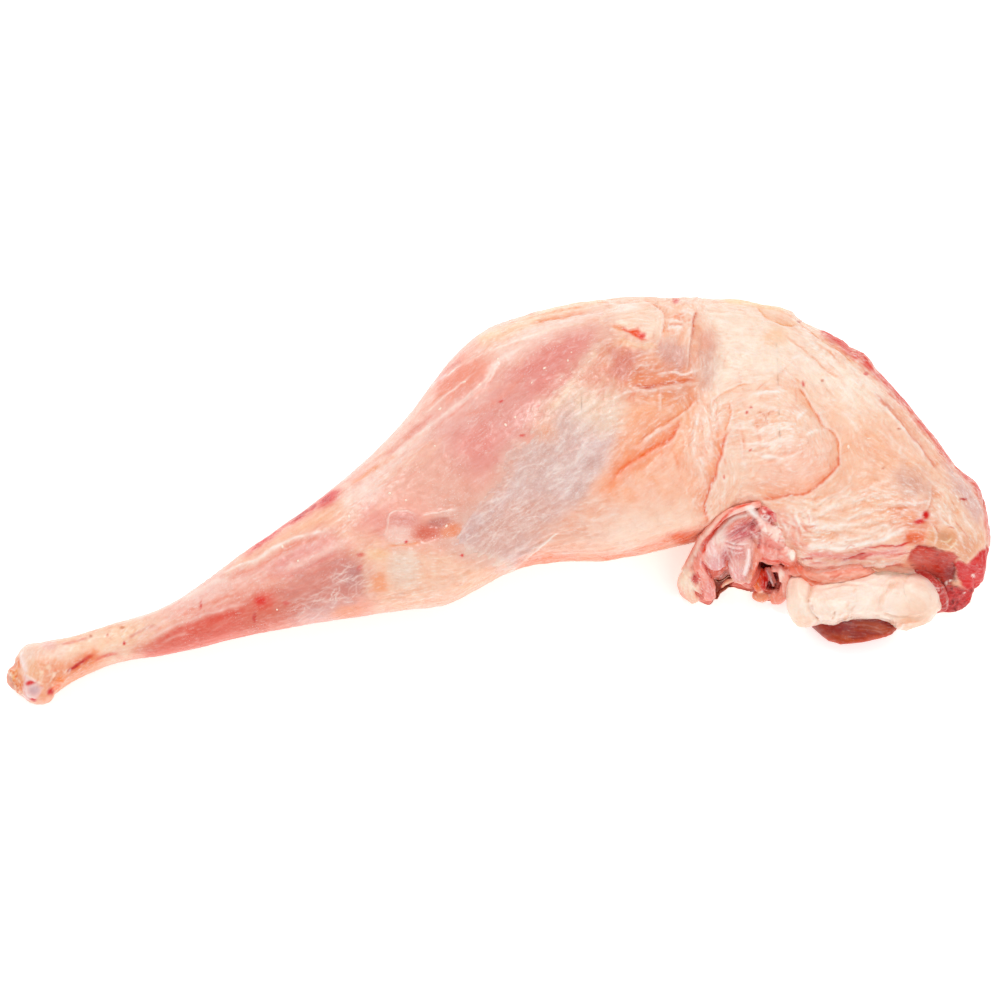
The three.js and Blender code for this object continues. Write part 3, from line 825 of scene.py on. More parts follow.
def divided(piece, names):
    """A finished piece cut across into closed pieces with as many points each, from left to right."""
    shares = np.arange(1, len(names)) / len(names)
    ends = [None, *np.quantile(points_of(piece.data)[:, 0], shares), None]
    parts = []
    for name, left, right in zip(names, ends, ends[1:]):
        shape = bmesh.new()
        shape.from_mesh(piece.data)
        if left is not None:
            cut_across(shape, left, -1)
        if right is not None:
            cut_across(shape, right, 1)
        mesh = bpy.data.meshes.new(name)
        shape.to_mesh(mesh)
        shape.free()
        parts.append(new_object(name, mesh))
    bpy.data.objects.remove(piece)
    return parts


bare_muscle = tissue_material("bare_muscle", 0.45, 0.15, 0.1)
for part in divided(leg, ("shank", "lower_thigh", "upper_thigh")):
    part.data.materials.append(bare_muscle)
    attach(part, "root")
    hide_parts("hindquarter")

# Rump, flank and loin
# The film and the thin cover of fat that lie over the muscles of the rump, the folded flank and the loin,
# creased where they fold. It is the rest of the rounded solid, a little proud of the thigh where the film
# ends.

COVER_GRID = 0.74
COVER_START = -46.0
FILM_RISE = 0.25
FILM_SINK = 3.5

PALE_FAT = (251, 216, 195)
WARM_PEACH = (248, 184, 152)
FOLD_ORANGE = (243, 132, 84)
FOLD_RED = (236, 96, 62)
SILVER = (222, 196, 193)
BEIGE = (237, 204, 182)
BACK_RED = (226, 84, 72)
YELLOW_FAT = (253, 214, 168)
GREY_FILM = (218, 168, 154)

EDGE_STEP = 1.5
LOIN_FLAT = 236.0
LOIN_PRESS = 0.16
FOLD_EDGE = [
    (106, -52), (108.6, -50), (110, -46.7), (114, -43.4), (118, -43.6), (122, -44.6), (126, -45.5),
    (129, -49),
]
LOIN_EDGE = [
    (214, -57), (220, -56), (227, -56), (231, -54.2), (234.6, -51.5), (236, -47), (236.6, -44.4),
    (239, -43.2), (242, -40.8), (243, -36), (244, -28), (246, -20),
]
BACK_LINE = [
    (70, 101.3), (85, 100.3), (92, 101.3), (109.5, 100.1), (120, 99.8), (130.5, 97.1), (139.8, 95.8),
    (145.6, 94.3), (148, 91.5), (150.4, 89.3), (158.4, 85.8), (163, 84), (171, 80), (175, 76.4),
    (178, 75.6), (182, 73.8), (185, 70.1), (187.6, 65.8), (193.3, 60.8), (201.4, 51.5), (208.4, 42.2),
    (215.3, 34.1), (221.2, 25.9), (227, 17.8), (234, 12), (238, 10), (240.7, 6.2), (242.4, 0),
]


def draw_edge(mesh, path, fold, side, blend=0.1):
    """Moves the upper (1) or lower (-1) outline of a form to a line, from a fold's width inside it."""
    first, last = path[0][0], path[-1][0]
    points = points_of(mesh)
    across, up = shown_place(points).T
    reach = side * up
    stations = np.arange(across.min(), across.max() + EDGE_STEP, EDGE_STEP)
    slot = np.round((across - stations[0]) / EDGE_STEP).astype(int)
    outline = np.full(len(stations), -np.inf)
    np.maximum.at(outline, np.minimum(slot, len(stations) - 1), reach)
    known = np.isfinite(outline)
    now = np.interp(across, stations[known], outline[known])
    wanted = side * np.interp(across, *np.array(path).T, left=np.nan, right=np.nan)
    wanted = np.where(np.isnan(wanted), now, wanted)
    beyond = np.maximum(reach - wanted + fold, 0)
    stretch = fold / np.maximum(now - wanted + fold, fold / 3)
    ends = ease(across, first - 0.1, first + blend) * ease(-across, -last - 0.1, -last)
    points += upward * (side * beyond * (stretch - 1) * ends)[:, None]
    place_points(mesh, points)


trunk = cut_from(whole, "rump_flank_and_loin", COVER_GRID, COVER_START, -1)
draw_edge(trunk.data, LOIN_EDGE, 9, -1)
draw_edge(trunk.data, FOLD_EDGE, 7, -1)
draw_edge(trunk.data, BACK_LINE, 7, 1, 20)
trunk_points = points_of(trunk.data)
trunk_points[:, 0] -= LOIN_PRESS * np.maximum(trunk_points[:, 0] - LOIN_FLAT, 0)
place_points(trunk.data, trunk_points)
flat_base(trunk.data)
COVER_GUIDES = [
    (-5, -15, 35), (22, 8, 34), (40, 30, 40), (30, 55, 46), (58, 66, 60), (72, 58, 8), (90, 88, 88),
    (95, 72, 86), (88, 60, 6), (66, 84, -15), (60, 97, 8), (80, 30, 40), (66, 12, 44), (99, 45, -82),
    (104, 20, -78), (103, -6, 88), (62, -10, 14), (40, -22, 20), (90, -14, 20), (125, 50, 22),
    (118, 36, 10), (140, 30, 12), (152, 46, -48), (167, 25, -84), (160, 9, 40), (140, 3, 6), (182, -8, 7),
    (165, -20, 3), (205, -14, 14), (200, 12, -24), (125, 80, -6), (150, 75, -40), (185, 48, -46),
    (210, 22, -50), (232, 0, -58), (240, -14, -80), (226, -18, -30), (120, 97, -6),
]
cover = Skin(trunk.data, WARM_PINK, "fat", COVER_GUIDES, wrinkled=0.45)
cover.colour += (tone(*SKIN_PEACH) - tone(*WARM_PINK)) * ease(cover.points[:, 0], -60, 90)[:, None]
film_depth = cover.seen * depth_inside(cover.place, UNDER_FILM) + (1 - cover.seen) * cover.points[:, 0]
cover.lift += FILM_RISE * ease(film_depth, 0, 5) - FILM_SINK * ease(-film_depth, 0, 12)

# Washes of colour: soft edge, colour, kind and outline
COVER_WASHES = [
    (6, SILVER, "film", [(-24, -22), (-14, -8), (0, 6), (14, 26), (30, 42), (56, 44), (59, 30), (56, 19),
        (51, 12), (47, 6), (42, -1), (34, -9), (27, -15), (18, -24), (4, -40), (-10, -34)]),
    (6, BEIGE, "film", [(12, 30), (22, 46), (34, 62), (48, 78), (58, 80), (56, 66), (64, 52), (62, 36),
        (50, 32), (36, 36), (24, 34)]),
    (5, (208, 166, 160), "film", [(-20, -18), (-13, -9), (-4, -4), (2, -9), (-1, -16), (-10, -21)]),
    (7, PALE_FAT, "fat", [(26, -30), (38, -10), (52, 4), (64, 12), (82, 22), (98, 14), (101, -12),
        (92, -20), (60, -27)]),
    (6, WARM_PEACH, "fat", [(44, -2), (56, 16), (62, 34), (68, 50), (84, 56), (98, 50), (94, 30), (80, 22),
        (66, 8), (54, 0)]),
    (6, PALE_FAT, "fat", [(56, 84), (64, 94), (80, 98), (84, 88), (80, 80), (66, 76)]),
    (7, (253, 233, 216), "fat", [(98, 98), (120, 98), (150, 84), (148, 66), (134, 58), (118, 58), (106, 52),
        (100, 62), (106, 80)]),
    (8, PALE_FAT, "fat", [(104, 50), (120, 58), (142, 58), (154, 48), (164, 36), (168, 22), (150, 14),
        (124, 10), (110, 2), (106, 20)]),
    (7, (250, 202, 182), "fat", [(132, 24), (148, 30), (164, 30), (168, 20), (160, 8), (142, 4), (126, 6)]),
    (8, (250, 213, 189), "fat", [(152, 84), (176, 64), (200, 40), (214, 24), (200, 22), (180, 26),
        (164, 46), (152, 58)]),
    (8, (248, 193, 163), "fat", [(170, 32), (192, 34), (208, 24), (214, 12), (196, 6), (174, 8), (160, 2)]),
    (6, (250, 211, 187), "fat", [(146, 2), (180, 6), (204, 2), (214, -4), (208, -16), (180, -22),
        (150, -24)]),
    (5, (247, 206, 181), "fat", [(214, 20), (226, 12), (240, 0), (242, -22), (232, -30), (216, -24),
        (212, -8)]),
    (8, (232, 158, 130), "fat", [(42, 76), (54, 80), (66, 78), (80, 74), (98, 72), (101, 58), (97, 48),
        (82, 50), (66, 50), (54, 56), (46, 64)]),
    (9, (253, 235, 219), "fat", [(150, 88), (176, 72), (198, 50), (192, 38), (170, 48), (150, 62)]),
    (8, (248, 188, 160), "fat", [(46, 2), (56, 20), (66, 30), (84, 32), (100, 22), (101, 2), (84, -4),
        (64, -6)]),
    (6, (238, 160, 132), "fat", [(198, 2), (210, 0), (218, -8), (222, -18), (212, -24), (200, -18),
        (196, -8)]),
    (12, (249, 200, 173), "fat", [(172, 30), (190, 44), (205, 36), (222, 14), (212, 0), (180, 2)]),
    (7, (224, 174, 160), "film", [(-10, -14), (4, 0), (20, 4), (34, -2), (26, -14), (12, -24), (-2, -30),
        (-14, -26)]),
    (8, (241, 186, 164), "fat", [(18, -20), (34, -6), (48, 0), (60, -6), (52, -22), (30, -28)]),
    (10, (219, 182, 173), "film", [(4, 22), (20, 44), (34, 48), (44, 36), (36, 16), (22, 6), (6, 6)]),
]
for edge, colour, kind, outline in COVER_WASHES:
    cover.patch(outline, edge, colour=colour, kind=kind)

# The film is thinnest along its edge, where the muscle shows through.
for colour, reach, width in (
    ((232, 174, 158), FILM_EDGE[1:10], 14),
    ((222, 176, 164), FILM_EDGE[9:14], 10),
    ((238, 204, 184), FILM_EDGE[15:20], 9),
):
    cover.stroke(reach, width, broken=0.4, taper=0.1, colour=colour, strength=0.85)
cover.stroke(
    [(52, 80), (44, 68), (38, 60), (33, 54), (27, 47), (21, 41.5)], 5, broken=0.4, colour=(247, 214, 190),
)

# Ridges with painted highlights along them: width, rise and path
COVER_RIDGES = [
    (1.6, 0.8, [(78, 61.5), (82.5, 63), (87.6, 64), (92, 62.5), (99, 65.4)]),
    (2.4, 0.6, [(61, 79.5), (68.5, 77.5), (77.5, 78)]),
    (1.4, 0.6, [(70, 26.5), (77, 33), (83, 36), (91, 41.5)]),
    (1.0, 0.4, [(80, 57), (80.2, 48)]),
    (3.0, 1.0, [(98, 50), (99.5, 44), (98, 34), (97, 20)]),
    (2.4, 0.8, [(106, 46), (104.5, 36), (102, 22), (100, 10)]),
    (2.6, 0.9, [(111.5, 47), (109, 38), (106, 28), (103.5, 16)]),
    (2.0, 0.7, [(117, 35), (126, 35.2), (134, 35.7), (145.3, 37.6)]),
    (2.0, 0.7, [(118.5, 28.6), (128, 28), (134, 28.3), (141.4, 30.6)]),
    (1.8, 0.7, [(130.6, 21.6), (135, 21.8), (140.2, 21)]),
    (1.8, 0.6, [(148.4, 40.8), (150, 42.6), (152.3, 44)]),
    (1.6, 0.5, [(153, 32.5), (156, 33.8), (158.6, 34.4)]),
    (2.0, 0.5, [(117, 56), (124, 58.4), (129.3, 59.9)]),
    (1.8, 0.5, [(124.8, 51.6), (134, 53.6), (141.4, 54.2)]),
    (1.6, 0.4, [(144, 69), (150, 71.5), (160, 66)]),
    (1.4, 0.6, [(188, 51), (200, 37), (209, 26), (218, 14), (222, 8.5)]),
    (1.4, 0.6, [(201, 28.2), (200.4, 23.8), (203, 20.5)]),
    (2.6, 0.6, [(150, -15.8), (166, -12.6), (175.5, -8.2), (190.8, -3.7), (201, -1.8), (215.7, -0.5)]),
    (2.6, 0.6, [(150, -22), (163, -19), (177, -17.7), (191, -13.9), (205.5, -9.4)]),
    (2.4, 0.5, [(150, -8), (165, -4), (180, 1), (200, 3)]),
]
for width, rise, path in COVER_RIDGES:
    cover.stroke(path, width * 1.2, broken=0.6, colour=WHITE_FAT_AND_HIGHLIGHT, strength=0.55, rise=0.6 * rise)
cover.stroke(
    [(4, -36.5), (10, -31.5), (16.5, -26), (22.5, -21), (30, -15.5)], 1.3, broken=0, taper=0.1,
    colour=WHITE_FAT_AND_HIGHLIGHT, strength=0.95, rise=0.4,
)

# The front edge of the thigh and the corner under the fold, both darkened with painted shade
cover.stroke(
    [(6, -36), (20, -30), (45, -29.5), (63, -28), (77, -23), (90, -19.5), (98, -19.5)], 9, taper=0.05,
    colour=(245, 150, 120), strength=0.85,
)
cover.patch(
    [(44, -13), (54, -8), (66, -7), (75, -11), (70, -18), (56, -20), (46, -18)], 5, colour=(252, 218, 200),
    strength=0.7,
)
# Painted shade in the corner under the fold
cover.patch(
    [(84, -17), (100, -14), (104, -10), (104, -22), (92, -24)], 2.5, colour=FOLD_RED, strength=0.6,
    rise=-0.6,
)

# Wisps and wrinkles, given like the bundles of the thigh
COVER_FIBRES = [
    ((22, 8), (46, 18), 34, 200, 11, 0.7, [WHITE_FAT_AND_HIGHLIGHT, LILAC, MILKY, WHITE_FAT_AND_HIGHLIGHT], 11, 16, 0.1, 0.4),
    ((104, 28), (10, 30), -80, 30, 20, 1.5, [WHITE_FAT_AND_HIGHLIGHT, WARM_PEACH, FOLD_ORANGE], 12, 5, 0.2, 0.4),
    ((140, 30), (26, 22), 12, 50, 14, 1.4, [WHITE_FAT_AND_HIGHLIGHT, SKIN_PEACH, WARM_PEACH], 13, 20, 0.15, 0.35),
    ((182, -8), (44, 16), 7, 90, 26, 1.5, [WHITE_FAT_AND_HIGHLIGHT, WARM_PEACH, PALE_FAT, ORANGE], 14, 5, 0.25, 0.45),
    ((185, 48), (50, 14), -46, 90, 14, 1.1, [WHITE_FAT_AND_HIGHLIGHT, WARM_PEACH, ORANGE], 15, 8, 0.2, 0.4),
    ((90, 89), (8, 7), 5, 26, 9, 1.1, [FOLD_ORANGE, WHITE_FAT_AND_HIGHLIGHT, MILKY], 17, 14, 0.3, 0.7),
    ((62, 66), (24, 14), 50, 90, 8, 1.0, [(222, 128, 98), WHITE_FAT_AND_HIGHLIGHT, (228, 120, 92)], 19, 30, 0.1, 0.45),
    ((150, 30), (80, 55), -20, 120, 12, 0.7, [ORANGE, FOLD_ORANGE, ORANGE], 24, 50, -0.1, 0.35),
]
for bundle in COVER_FIBRES:
    cover.fibres(*bundle)

# How wrinkled the cover is in places: soft edge, amount and outline
COVER_WRINKLES = [
    (6, 0.9, [(146, 2), (180, 6), (212, 2), (214, -20), (180, -26), (146, -26)]),
    (6, 0.6, [(56, 100), (100, 102), (100, 54), (76, 52), (60, 60)]),
    (5, 0.8, [(96, 52), (116, 50), (112, 20), (104, -12), (98, -4), (98, 30)]),
    (6, 0.8, [(114, 42), (150, 44), (152, 30), (130, 20), (114, 26)]),
    (6, 0.2, [(40, -26), (60, 8), (90, 18), (98, -10), (80, -22)]),
    (4, 0.7, [(150, 92), (184, 74), (214, 40), (236, 10), (228, 4), (204, 30), (176, 58), (148, 80)]),
    (5, 0.8, [(216, 12), (240, 4), (244, -22), (234, -30), (216, -24)]),
]
for edge, amount, outline in COVER_WRINKLES:
    cover.patch(outline, edge, wrinkled=amount)
cover.fold(18, 3.4, 53, 0.35, 0.5, 0.6)
cover.fold(8, 1.5, 54, 0.16, 0.5, 0.5)

# Muscle and dull film that show through the cover: soft edge, colour and outline
COVER_SHOWS = [
    (2.5, (218, 134, 122), [(55.5, 74), (61, 74.5), (68.5, 73), (68, 68.5), (66, 64), (62, 60), (55.5, 61),
        (53, 64), (55.5, 69)]),
    (4, (236, 166, 146), [(38, 66), (48, 70), (54, 66), (54, 58), (44, 56), (38, 60)]),
    (2.5, (220, 170, 160), [(79, 79.5), (87.5, 80), (93.5, 77), (93.5, 68.5), (90, 64), (86, 65.5),
        (81, 69), (78.5, 74)]),
    (3, (222, 150, 130), [(99.5, 84), (106, 83), (108, 76), (104, 72), (99, 76)]),
    (3, (222, 172, 156), [(99, 74), (106, 74), (108, 66), (106, 57), (101, 55), (99, 66)]),
    (4, (240, 176, 146), [(18, 40), (26, 40), (28, 32), (20, 30)]),
    (2.5, (205, 160, 150), [(44, 22), (50, 22), (50, 16.5), (44, 17)]),
    (3, (212, 168, 158), [(36, 8), (42, 8), (42, 3), (36, 3)]),
    (4, GREY_FILM, [(198, 14), (208, 15), (215, 8), (214, 2), (204, 3), (198, 8)]),
    (3, (222, 182, 180), [(223, 18), (232, 9), (239, 2), (242, -7), (240, -13), (234, -6), (229, 2),
        (225, 10)]),
]
for edge, colour, outline in COVER_SHOWS:
    cover.patch(outline, edge * 1.6, colour=colour, strength=0.75, kind="film")

# Creases in painted shade: width, depth, reach of the shaded glow, its colour, colour of the core and path
COVER_CREASES = [
    (1.3, 0.8, 3.2, FOLD_ORANGE, (232, 104, 64), [(128, -0.6), (134, 0.6), (144.4, 2.1), (153.7, 3.8),
        (159.5, 7.9), (165.3, 12.6), (168.8, 18.4), (169, 22)]),
    (1.0, 0.6, 1.8, (244, 164, 124), (234, 120, 76), [(168.8, 16.4), (169, 25), (167, 33), (161.9, 36.6)]),
    (0.9, 0.6, 1.4, (244, 164, 124), (228, 116, 74), [(164, 35.4), (161.9, 36.6), (158.4, 42.2),
        (152.8, 51.5), (148, 57)]),
    (1.4, 1.0, 3.2, FOLD_ORANGE, (232, 100, 58), [(104.4, -13), (102.6, -5), (103.1, 1.5), (107.8, 13.1),
        (111.3, 25.9), (115.3, 36.4)]),
    (1.0, 0.5, 1.6, (246, 170, 132), (240, 150, 108), [(112.4, 34), (114.6, 40), (115, 45), (114, 50)]),
    (1.9, 1.6, 5.0, FOLD_ORANGE, (232, 96, 58), [(55, 9), (62, 16), (70, 21.5), (77, 26.5), (84, 30),
        (88, 35), (90.5, 42)]),
    (1.0, 0.6, 1.6, (242, 160, 122), (228, 124, 86), [(66, 26), (72, 31), (77.5, 35.5), (82.5, 38),
        (91, 44), (95.5, 47.5), (99, 53)]),
    (1.8, 0.9, 4.0, (236, 134, 94), (214, 104, 72), [(64, 58), (69, 57), (74, 56.4), (80, 57.6), (88, 58.8),
        (98, 60)]),
    (1.2, 0.3, 2.4, (228, 140, 104), (204, 88, 50), [(98.4, 95), (97.6, 92), (96.8, 88), (95.8, 80)]),
    (0.8, 0.4, 1.4, (230, 164, 140), (210, 134, 112), [(96, 83), (94.8, 73), (94.2, 65)]),
    (0.9, 0.6, 2.0, (243, 164, 122), (234, 140, 98), [(70, 99.2), (75, 97.8), (79, 95.6), (82.4, 92),
        (82.2, 87), (80.5, 80)]),
    (0.9, 0.4, 1.0, (249, 200, 170), (243, 172, 138), [(128, 59), (119, 56.5), (112, 53.8), (108, 50.5),
        (105, 45)]),
    (0.9, 0.5, 1.6, (247, 184, 132), (238, 154, 104), [(127, 97), (133.3, 91.2), (137.3, 89.2), (143, 87.4),
        (150, 87)]),
    (0.9, 0.5, 1.4, (247, 182, 132), (236, 148, 102), [(147.6, 89.4), (155.7, 82.6), (164, 77), (168.5, 75),
        (179, 66)]),
    (0.9, 0.4, 1.2, (245, 184, 152), (238, 164, 130), [(140, 83.6), (148.6, 77.4), (155.7, 71.3),
        (164, 64.7), (170, 59.6)]),
    (1.4, 0.5, 2.6, (236, 160, 132), (224, 124, 100), [(186, 54), (198.5, 41.6), (204.8, 32), (210, 26.3),
        (213.8, 20.6), (220, 13)]),
    (1.0, 0.4, 1.4, (240, 172, 142), (230, 148, 118), [(216.6, 8), (215.7, -0.5), (211.5, -8)]),
]
for width, depth, glow, colour, core, path in COVER_CREASES:
    cover.crease(path, width, depth, glow, colour, core)

# The orange band under the front fold, painted shade where the fold's lip hangs over it
cover.stroke(
    [(46, -2), (55, 7), (65, 16), (75, 23), (84, 30), (90, 40)], 9, taper=0.25, colour=FOLD_ORANGE,
    strength=0.5,
)

# The red edge of the back in short lengths, with yellow fat before it: width and path
BACK_EDGE = [
    (3.6, [(157, 86), (166, 80), (176, 74), (185, 66), (196, 56.5), (206, 44), (214, 36), (220, 29),
        (226, 20.5), (234, 11.5), (240, 4.5), (243.5, -4), (244.6, -14), (244.5, -26)]),
    (4.0, [(160, 85), (169, 79.5), (176, 73)]),
    (3.0, [(177.5, 75), (182, 71.5), (186, 65.5)]),
    (3.2, [(189, 63), (194, 59.5), (197, 56)]),
    (4.0, [(196, 56), (200, 52), (204.5, 46.5)]),
    (4.4, [(207, 43), (213.8, 36.5), (219.5, 30), (223.3, 23), (227.5, 18.5)]),
    (2.0, [(227, 18.5), (235, 11)]),
    (3.0, [(238, 9), (240.5, 5)]),
    (2.4, [(243.5, -2), (244.5, -6), (244, -12)]),
    (3.0, [(244, -13), (245.5, -18), (245, -24)]),
]
for width, path in BACK_EDGE:
    cover.stroke(
        path, width * 1.4, broken=0.5, taper=0.1, colour=BACK_RED, strength=0.95, kind="muscle",
        around=True,
    )
cover.stroke([(108, 100), (119, 99), (128, 97.5), (142, 95), (147, 93)], 3.4, colour=YELLOW_FAT, rise=0.6)

# The fat lump on the hip, with painted highlights on its top and lower edge, and the red slit under it
HIP_LUMP = [
    (44, 91), (52, 96.5), (60, 99), (70, 98.5), (78, 96), (82, 90), (80.5, 83), (74, 80.5), (66, 84),
    (58, 86.5), (48, 87),
]
cover.patch(HIP_LUMP, 4, colour=(252, 226, 206), strength=0.45, rise=1.2)
# Painted highlights on the lump's top and along its lower edge
cover.spot((63, 95), (8, 2.4), 4, colour=WHITE_FAT_AND_HIGHLIGHT, strength=0.6, rise=0.3)
cover.spot((61, 87.6), (3.4, 1.2), -14, colour=(254, 236, 216), strength=0.7)
cover.patch(
    [(57, 86.5), (64, 84.9), (69, 85.4), (73, 80), (70.5, 79.6), (66, 82.4), (61, 84.6)], 0.8,
    colour=(238, 92, 62), strength=0.9, rise=-0.5,
)
cover.spot((58.6, 85.6), (2.6, 1.0), -18, colour=(244, 150, 90), strength=0.8)

# Painted highlights on the brightest ridges, and a few marks in the creases: width, colour and path
BRIGHT_LINES = [
    (3.6, (247, 198, 162), [(58, 80.5), (68, 77), (80, 77.6)]),
    (2.0, (200, 82, 60), [(71.6, 56.8), (74.6, 56.2), (77.6, 57)]),
    (1.3, WHITE_FAT_AND_HIGHLIGHT, [(77, 62), (83, 64), (88, 63.5), (92, 62.5), (100.5, 66)]),
    (1.0, WHITE_FAT_AND_HIGHLIGHT, [(80.2, 54), (80.2, 44)]),
    (1.8, (228, 96, 56), [(169, 22.4), (168.8, 16.4)]),
    (1.0, WHITE_FAT_AND_HIGHLIGHT, [(125, 33.2), (136, 34.6), (147, 38)]),
    (1.8, WHITE_FAT_AND_HIGHLIGHT, [(147.6, 39.4), (151, 43), (154, 45.4)]),
    (2.0, WHITE_FAT_AND_HIGHLIGHT, [(129, 21.6), (136, 22.4), (143, 19.8)]),
    (1.6, WHITE_FAT_AND_HIGHLIGHT, [(152, 31.8), (156, 34), (160, 34.6)]),
    (1.2, WHITE_FAT_AND_HIGHLIGHT, [(115, 35), (120, 36), (128, 36.8)]),
    (1.2, WHITE_FAT_AND_HIGHLIGHT, [(124, 28), (132, 28.6), (142, 31.4)]),
    (1.4, WHITE_FAT_AND_HIGHLIGHT, [(122, 51), (132, 53.4), (143, 54.4)]),
    (1.2, WHITE_FAT_AND_HIGHLIGHT, [(84, 88.4), (88, 89), (93, 88.4)]),
    (1.2, WHITE_FAT_AND_HIGHLIGHT, [(83.4, 86), (87.6, 86.4), (91.4, 85.6)]),
    (1.2, (234, 140, 108), [(84, 87.2), (88, 87.6), (92, 87)]),
]
for width, colour, path in BRIGHT_LINES:
    cover.stroke(path, width, broken=0.35, taper=0.2, colour=colour, strength=0.75, rise=0.2)

# Small marks: place, half size, colour and strength
COVER_SPOTS = [
    ((88, 99.5), (1.7, 1.5), BLOOD, 0.8),
    ((71, 81.8), (1.8, 1.2), (228, 60, 46), 0.7),
    ((123.3, 44), (0.7, 0.7), BLOOD, 0.8),
    ((125.3, 46), (0.9, 0.6), BLOOD, 0.8),
    ((124.8, 25), (0.7, 0.6), BLOOD, 0.7),
    ((111.8, 11.7), (0.8, 0.8), BLOOD, 0.7),
    ((151.3, 58), (0.7, 1.4), BLOOD, 0.8),
    ((161.2, 59.3), (0.9, 0.7), RUST, 0.8),
    ((149, 88.7), (1.0, 0.8), RUST, 0.9),
    ((183.3, 63.5), (1.1, 0.9), BLOOD, 0.8),
    ((199.1, 35), (0.9, 0.7), RUST, 0.8),
    ((191.5, 16.4), (0.8, 0.6), RUST, 0.6),
    ((212.5, -7.5), (2.0, 2.4), (214, 20, 24), 1.0),
    ((209.4, -11), (2.8, 1.5), (224, 40, 36), 1.0),
    ((205, -8.5), (4.0, 2.5), ORANGE, 0.7),
    ((231.4, 0.5), (1.5, 0.9), (196, 50, 46), 0.9),
    ((239.3, 5.9), (1.6, 1.6), BLOOD, 0.8),
    ((137.5, 81), (6, 4.5), (250, 200, 165), 0.8),
]
for place, half, colour, strength in COVER_SPOTS:
    cover.spot(place, half, colour=colour, strength=strength)
for vein in (
    [(128.7, 44.6), (132, 42.7), (133.2, 39.5), (133.8, 37)], [(133.8, 41.6), (135, 44), (137.6, 45.2)],
):
    cover.stroke(vein, 0.9, broken=0.2, colour=(224, 128, 94), strength=0.7)

# The layers of the flank's edge, and a line of painted shade behind the kidney fat: width, rise, colour and
# path
FLANK_LAYERS = [
    (5.0, 0.0, (238, 150, 142), [(150, -27), (162, -27.5), (174, -28), (186, -27), (198, -25.5),
        (206, -25)]),
    (1.8, -0.8, (212, 66, 62), [(171, -30), (177, -28), (183, -26.8)]),
    (1.4, -0.8, (222, 66, 60), [(179, -24.7), (191, -22.6), (198.5, -23), (203, -21.8), (207.5, -19.8)]),
    (1.6, -0.6, (216, 70, 66), [(150, -29.5), (154, -29.2), (157, -29.6)]),
    (3.0, 0.8, WHITE_FAT_AND_HIGHLIGHT, [(150, -24), (160, -23), (171, -24), (180, -21.5), (190, -20), (200, -15.5),
        (206, -14)]),
    (5.0, 0.4, (244, 140, 106), [(203, -19), (208, -18), (213, -19.5)]),
    (2.2, 0.9, (252, 214, 200), [(148, -30), (158, -32.3), (172, -31.4), (186, -32.4), (197, -31),
        (204, -29)]),
    (1.8, 0.5, (250, 205, 190), [(182, -29.5), (190, -28), (198, -28.5), (204, -26.5)]),
    (7.0, 0.4, (240, 124, 100), [(152, -37.5), (157, -36), (168, -36), (180, -35.5), (190, -34)]),
    (2.0, 0.3, (250, 190, 172), [(170, -35), (177, -36), (183, -35)]),
    (4.4, 0.0, (230, 86, 66), [(192.5, -33), (198, -32.5), (203, -34.5)]),
    # A thin dark line of painted shade in the crevice behind the kidney fat's top
    (1.2, -0.8, (120, 62, 50), [(168, -41), (174, -40), (183, -38)]),
]
for width, rise, colour, path in FLANK_LAYERS:
    cover.stroke(path, width, broken=0.2, taper=0.12, colour=colour, strength=1.0, kind="muscle", rise=rise)
cover.fibres((178, -29), (30, 6), 3, 60, 12, 0.8, [WHITE_FAT_AND_HIGHLIGHT, BLOOD, PALE_PINK, SALMON], 20, 8, 0.3, 0.6)

# The loin cut: the eye muscle, the red lobe beside it and the sawn bone below
LOIN_EYE = [
    (203.6, -30.5), (205, -25.5), (209, -21.8), (215, -23), (221, -25), (229.5, -27.5), (227.8, -31),
    (227.5, -34.3), (226.4, -39), (226, -41.3), (220, -41.6), (214, -38.8), (209.3, -37), (207, -35),
]
LOIN_LOBE = [
    (227.2, -31.6), (229, -29.8), (233.7, -31), (237.5, -27), (242.5, -23.5), (246, -26), (245, -40),
    (242, -42.5), (235.5, -45.6), (231.5, -42.6), (229, -38.8),
]
SAWN_BONE = [
    (214, -39), (223, -41.6), (231, -43), (236.5, -45.8), (237, -50.3), (231, -55), (224, -58), (217, -56),
    (217, -46),
]
cover.patch(SAWN_BONE, 0.8, colour=(192, 30, 24), strength=1.0, kind="fat", wrinkled=0.1)
cover.patch(LOIN_EYE, 0.7, colour=(211, 100, 90), strength=1.0, kind="fat", rise=-0.5, wrinkled=0.2)
cover.patch(LOIN_LOBE, 0.7, colour=(216, 60, 42), strength=1.0, kind="fat", rise=0.5, wrinkled=0.2)
cover.spot((221, -34), (6, 6), colour=(192, 86, 80), strength=0.7)
cover.spot((225, -37), (3.5, 4), colour=(150, 56, 54), strength=0.8)
cover.stroke(
    [(206, -25), (210, -22.6), (216, -24), (224, -26.4)], 2.4, broken=0.2, colour=(160, 30, 36),
    strength=0.8,
)
cover.spot((236, -41), (6, 3.5), 30, colour=(224, 62, 44), strength=0.8)
cover.stroke(
    [(226.4, -30), (227, -34), (227.4, -38.5), (229, -41.5)], 1.2, colour=(120, 30, 38), strength=0.8,
)
cover.stroke(
    [(206, -34), (212, -38), (219, -41), (226, -42), (232, -44)], 1.2, colour=(150, 34, 42), strength=0.8,
)
cover.spot((233.5, -49), (3, 3), colour=(214, 26, 30), strength=0.9)
cover.stroke([(205, -27), (210, -23.4), (216, -25.2), (222, -27)], 1.4, colour=(196, 40, 44), strength=0.9)
cover.stroke([(214, -40), (221, -42), (229, -42.5)], 1.6, colour=(226, 110, 104), strength=0.8, rise=0.4)
cover.stroke(
    [(228.4, -32), (228.2, -36), (229.6, -40), (232, -44)], 0.9, colour=(240, 150, 130), strength=0.4,
)
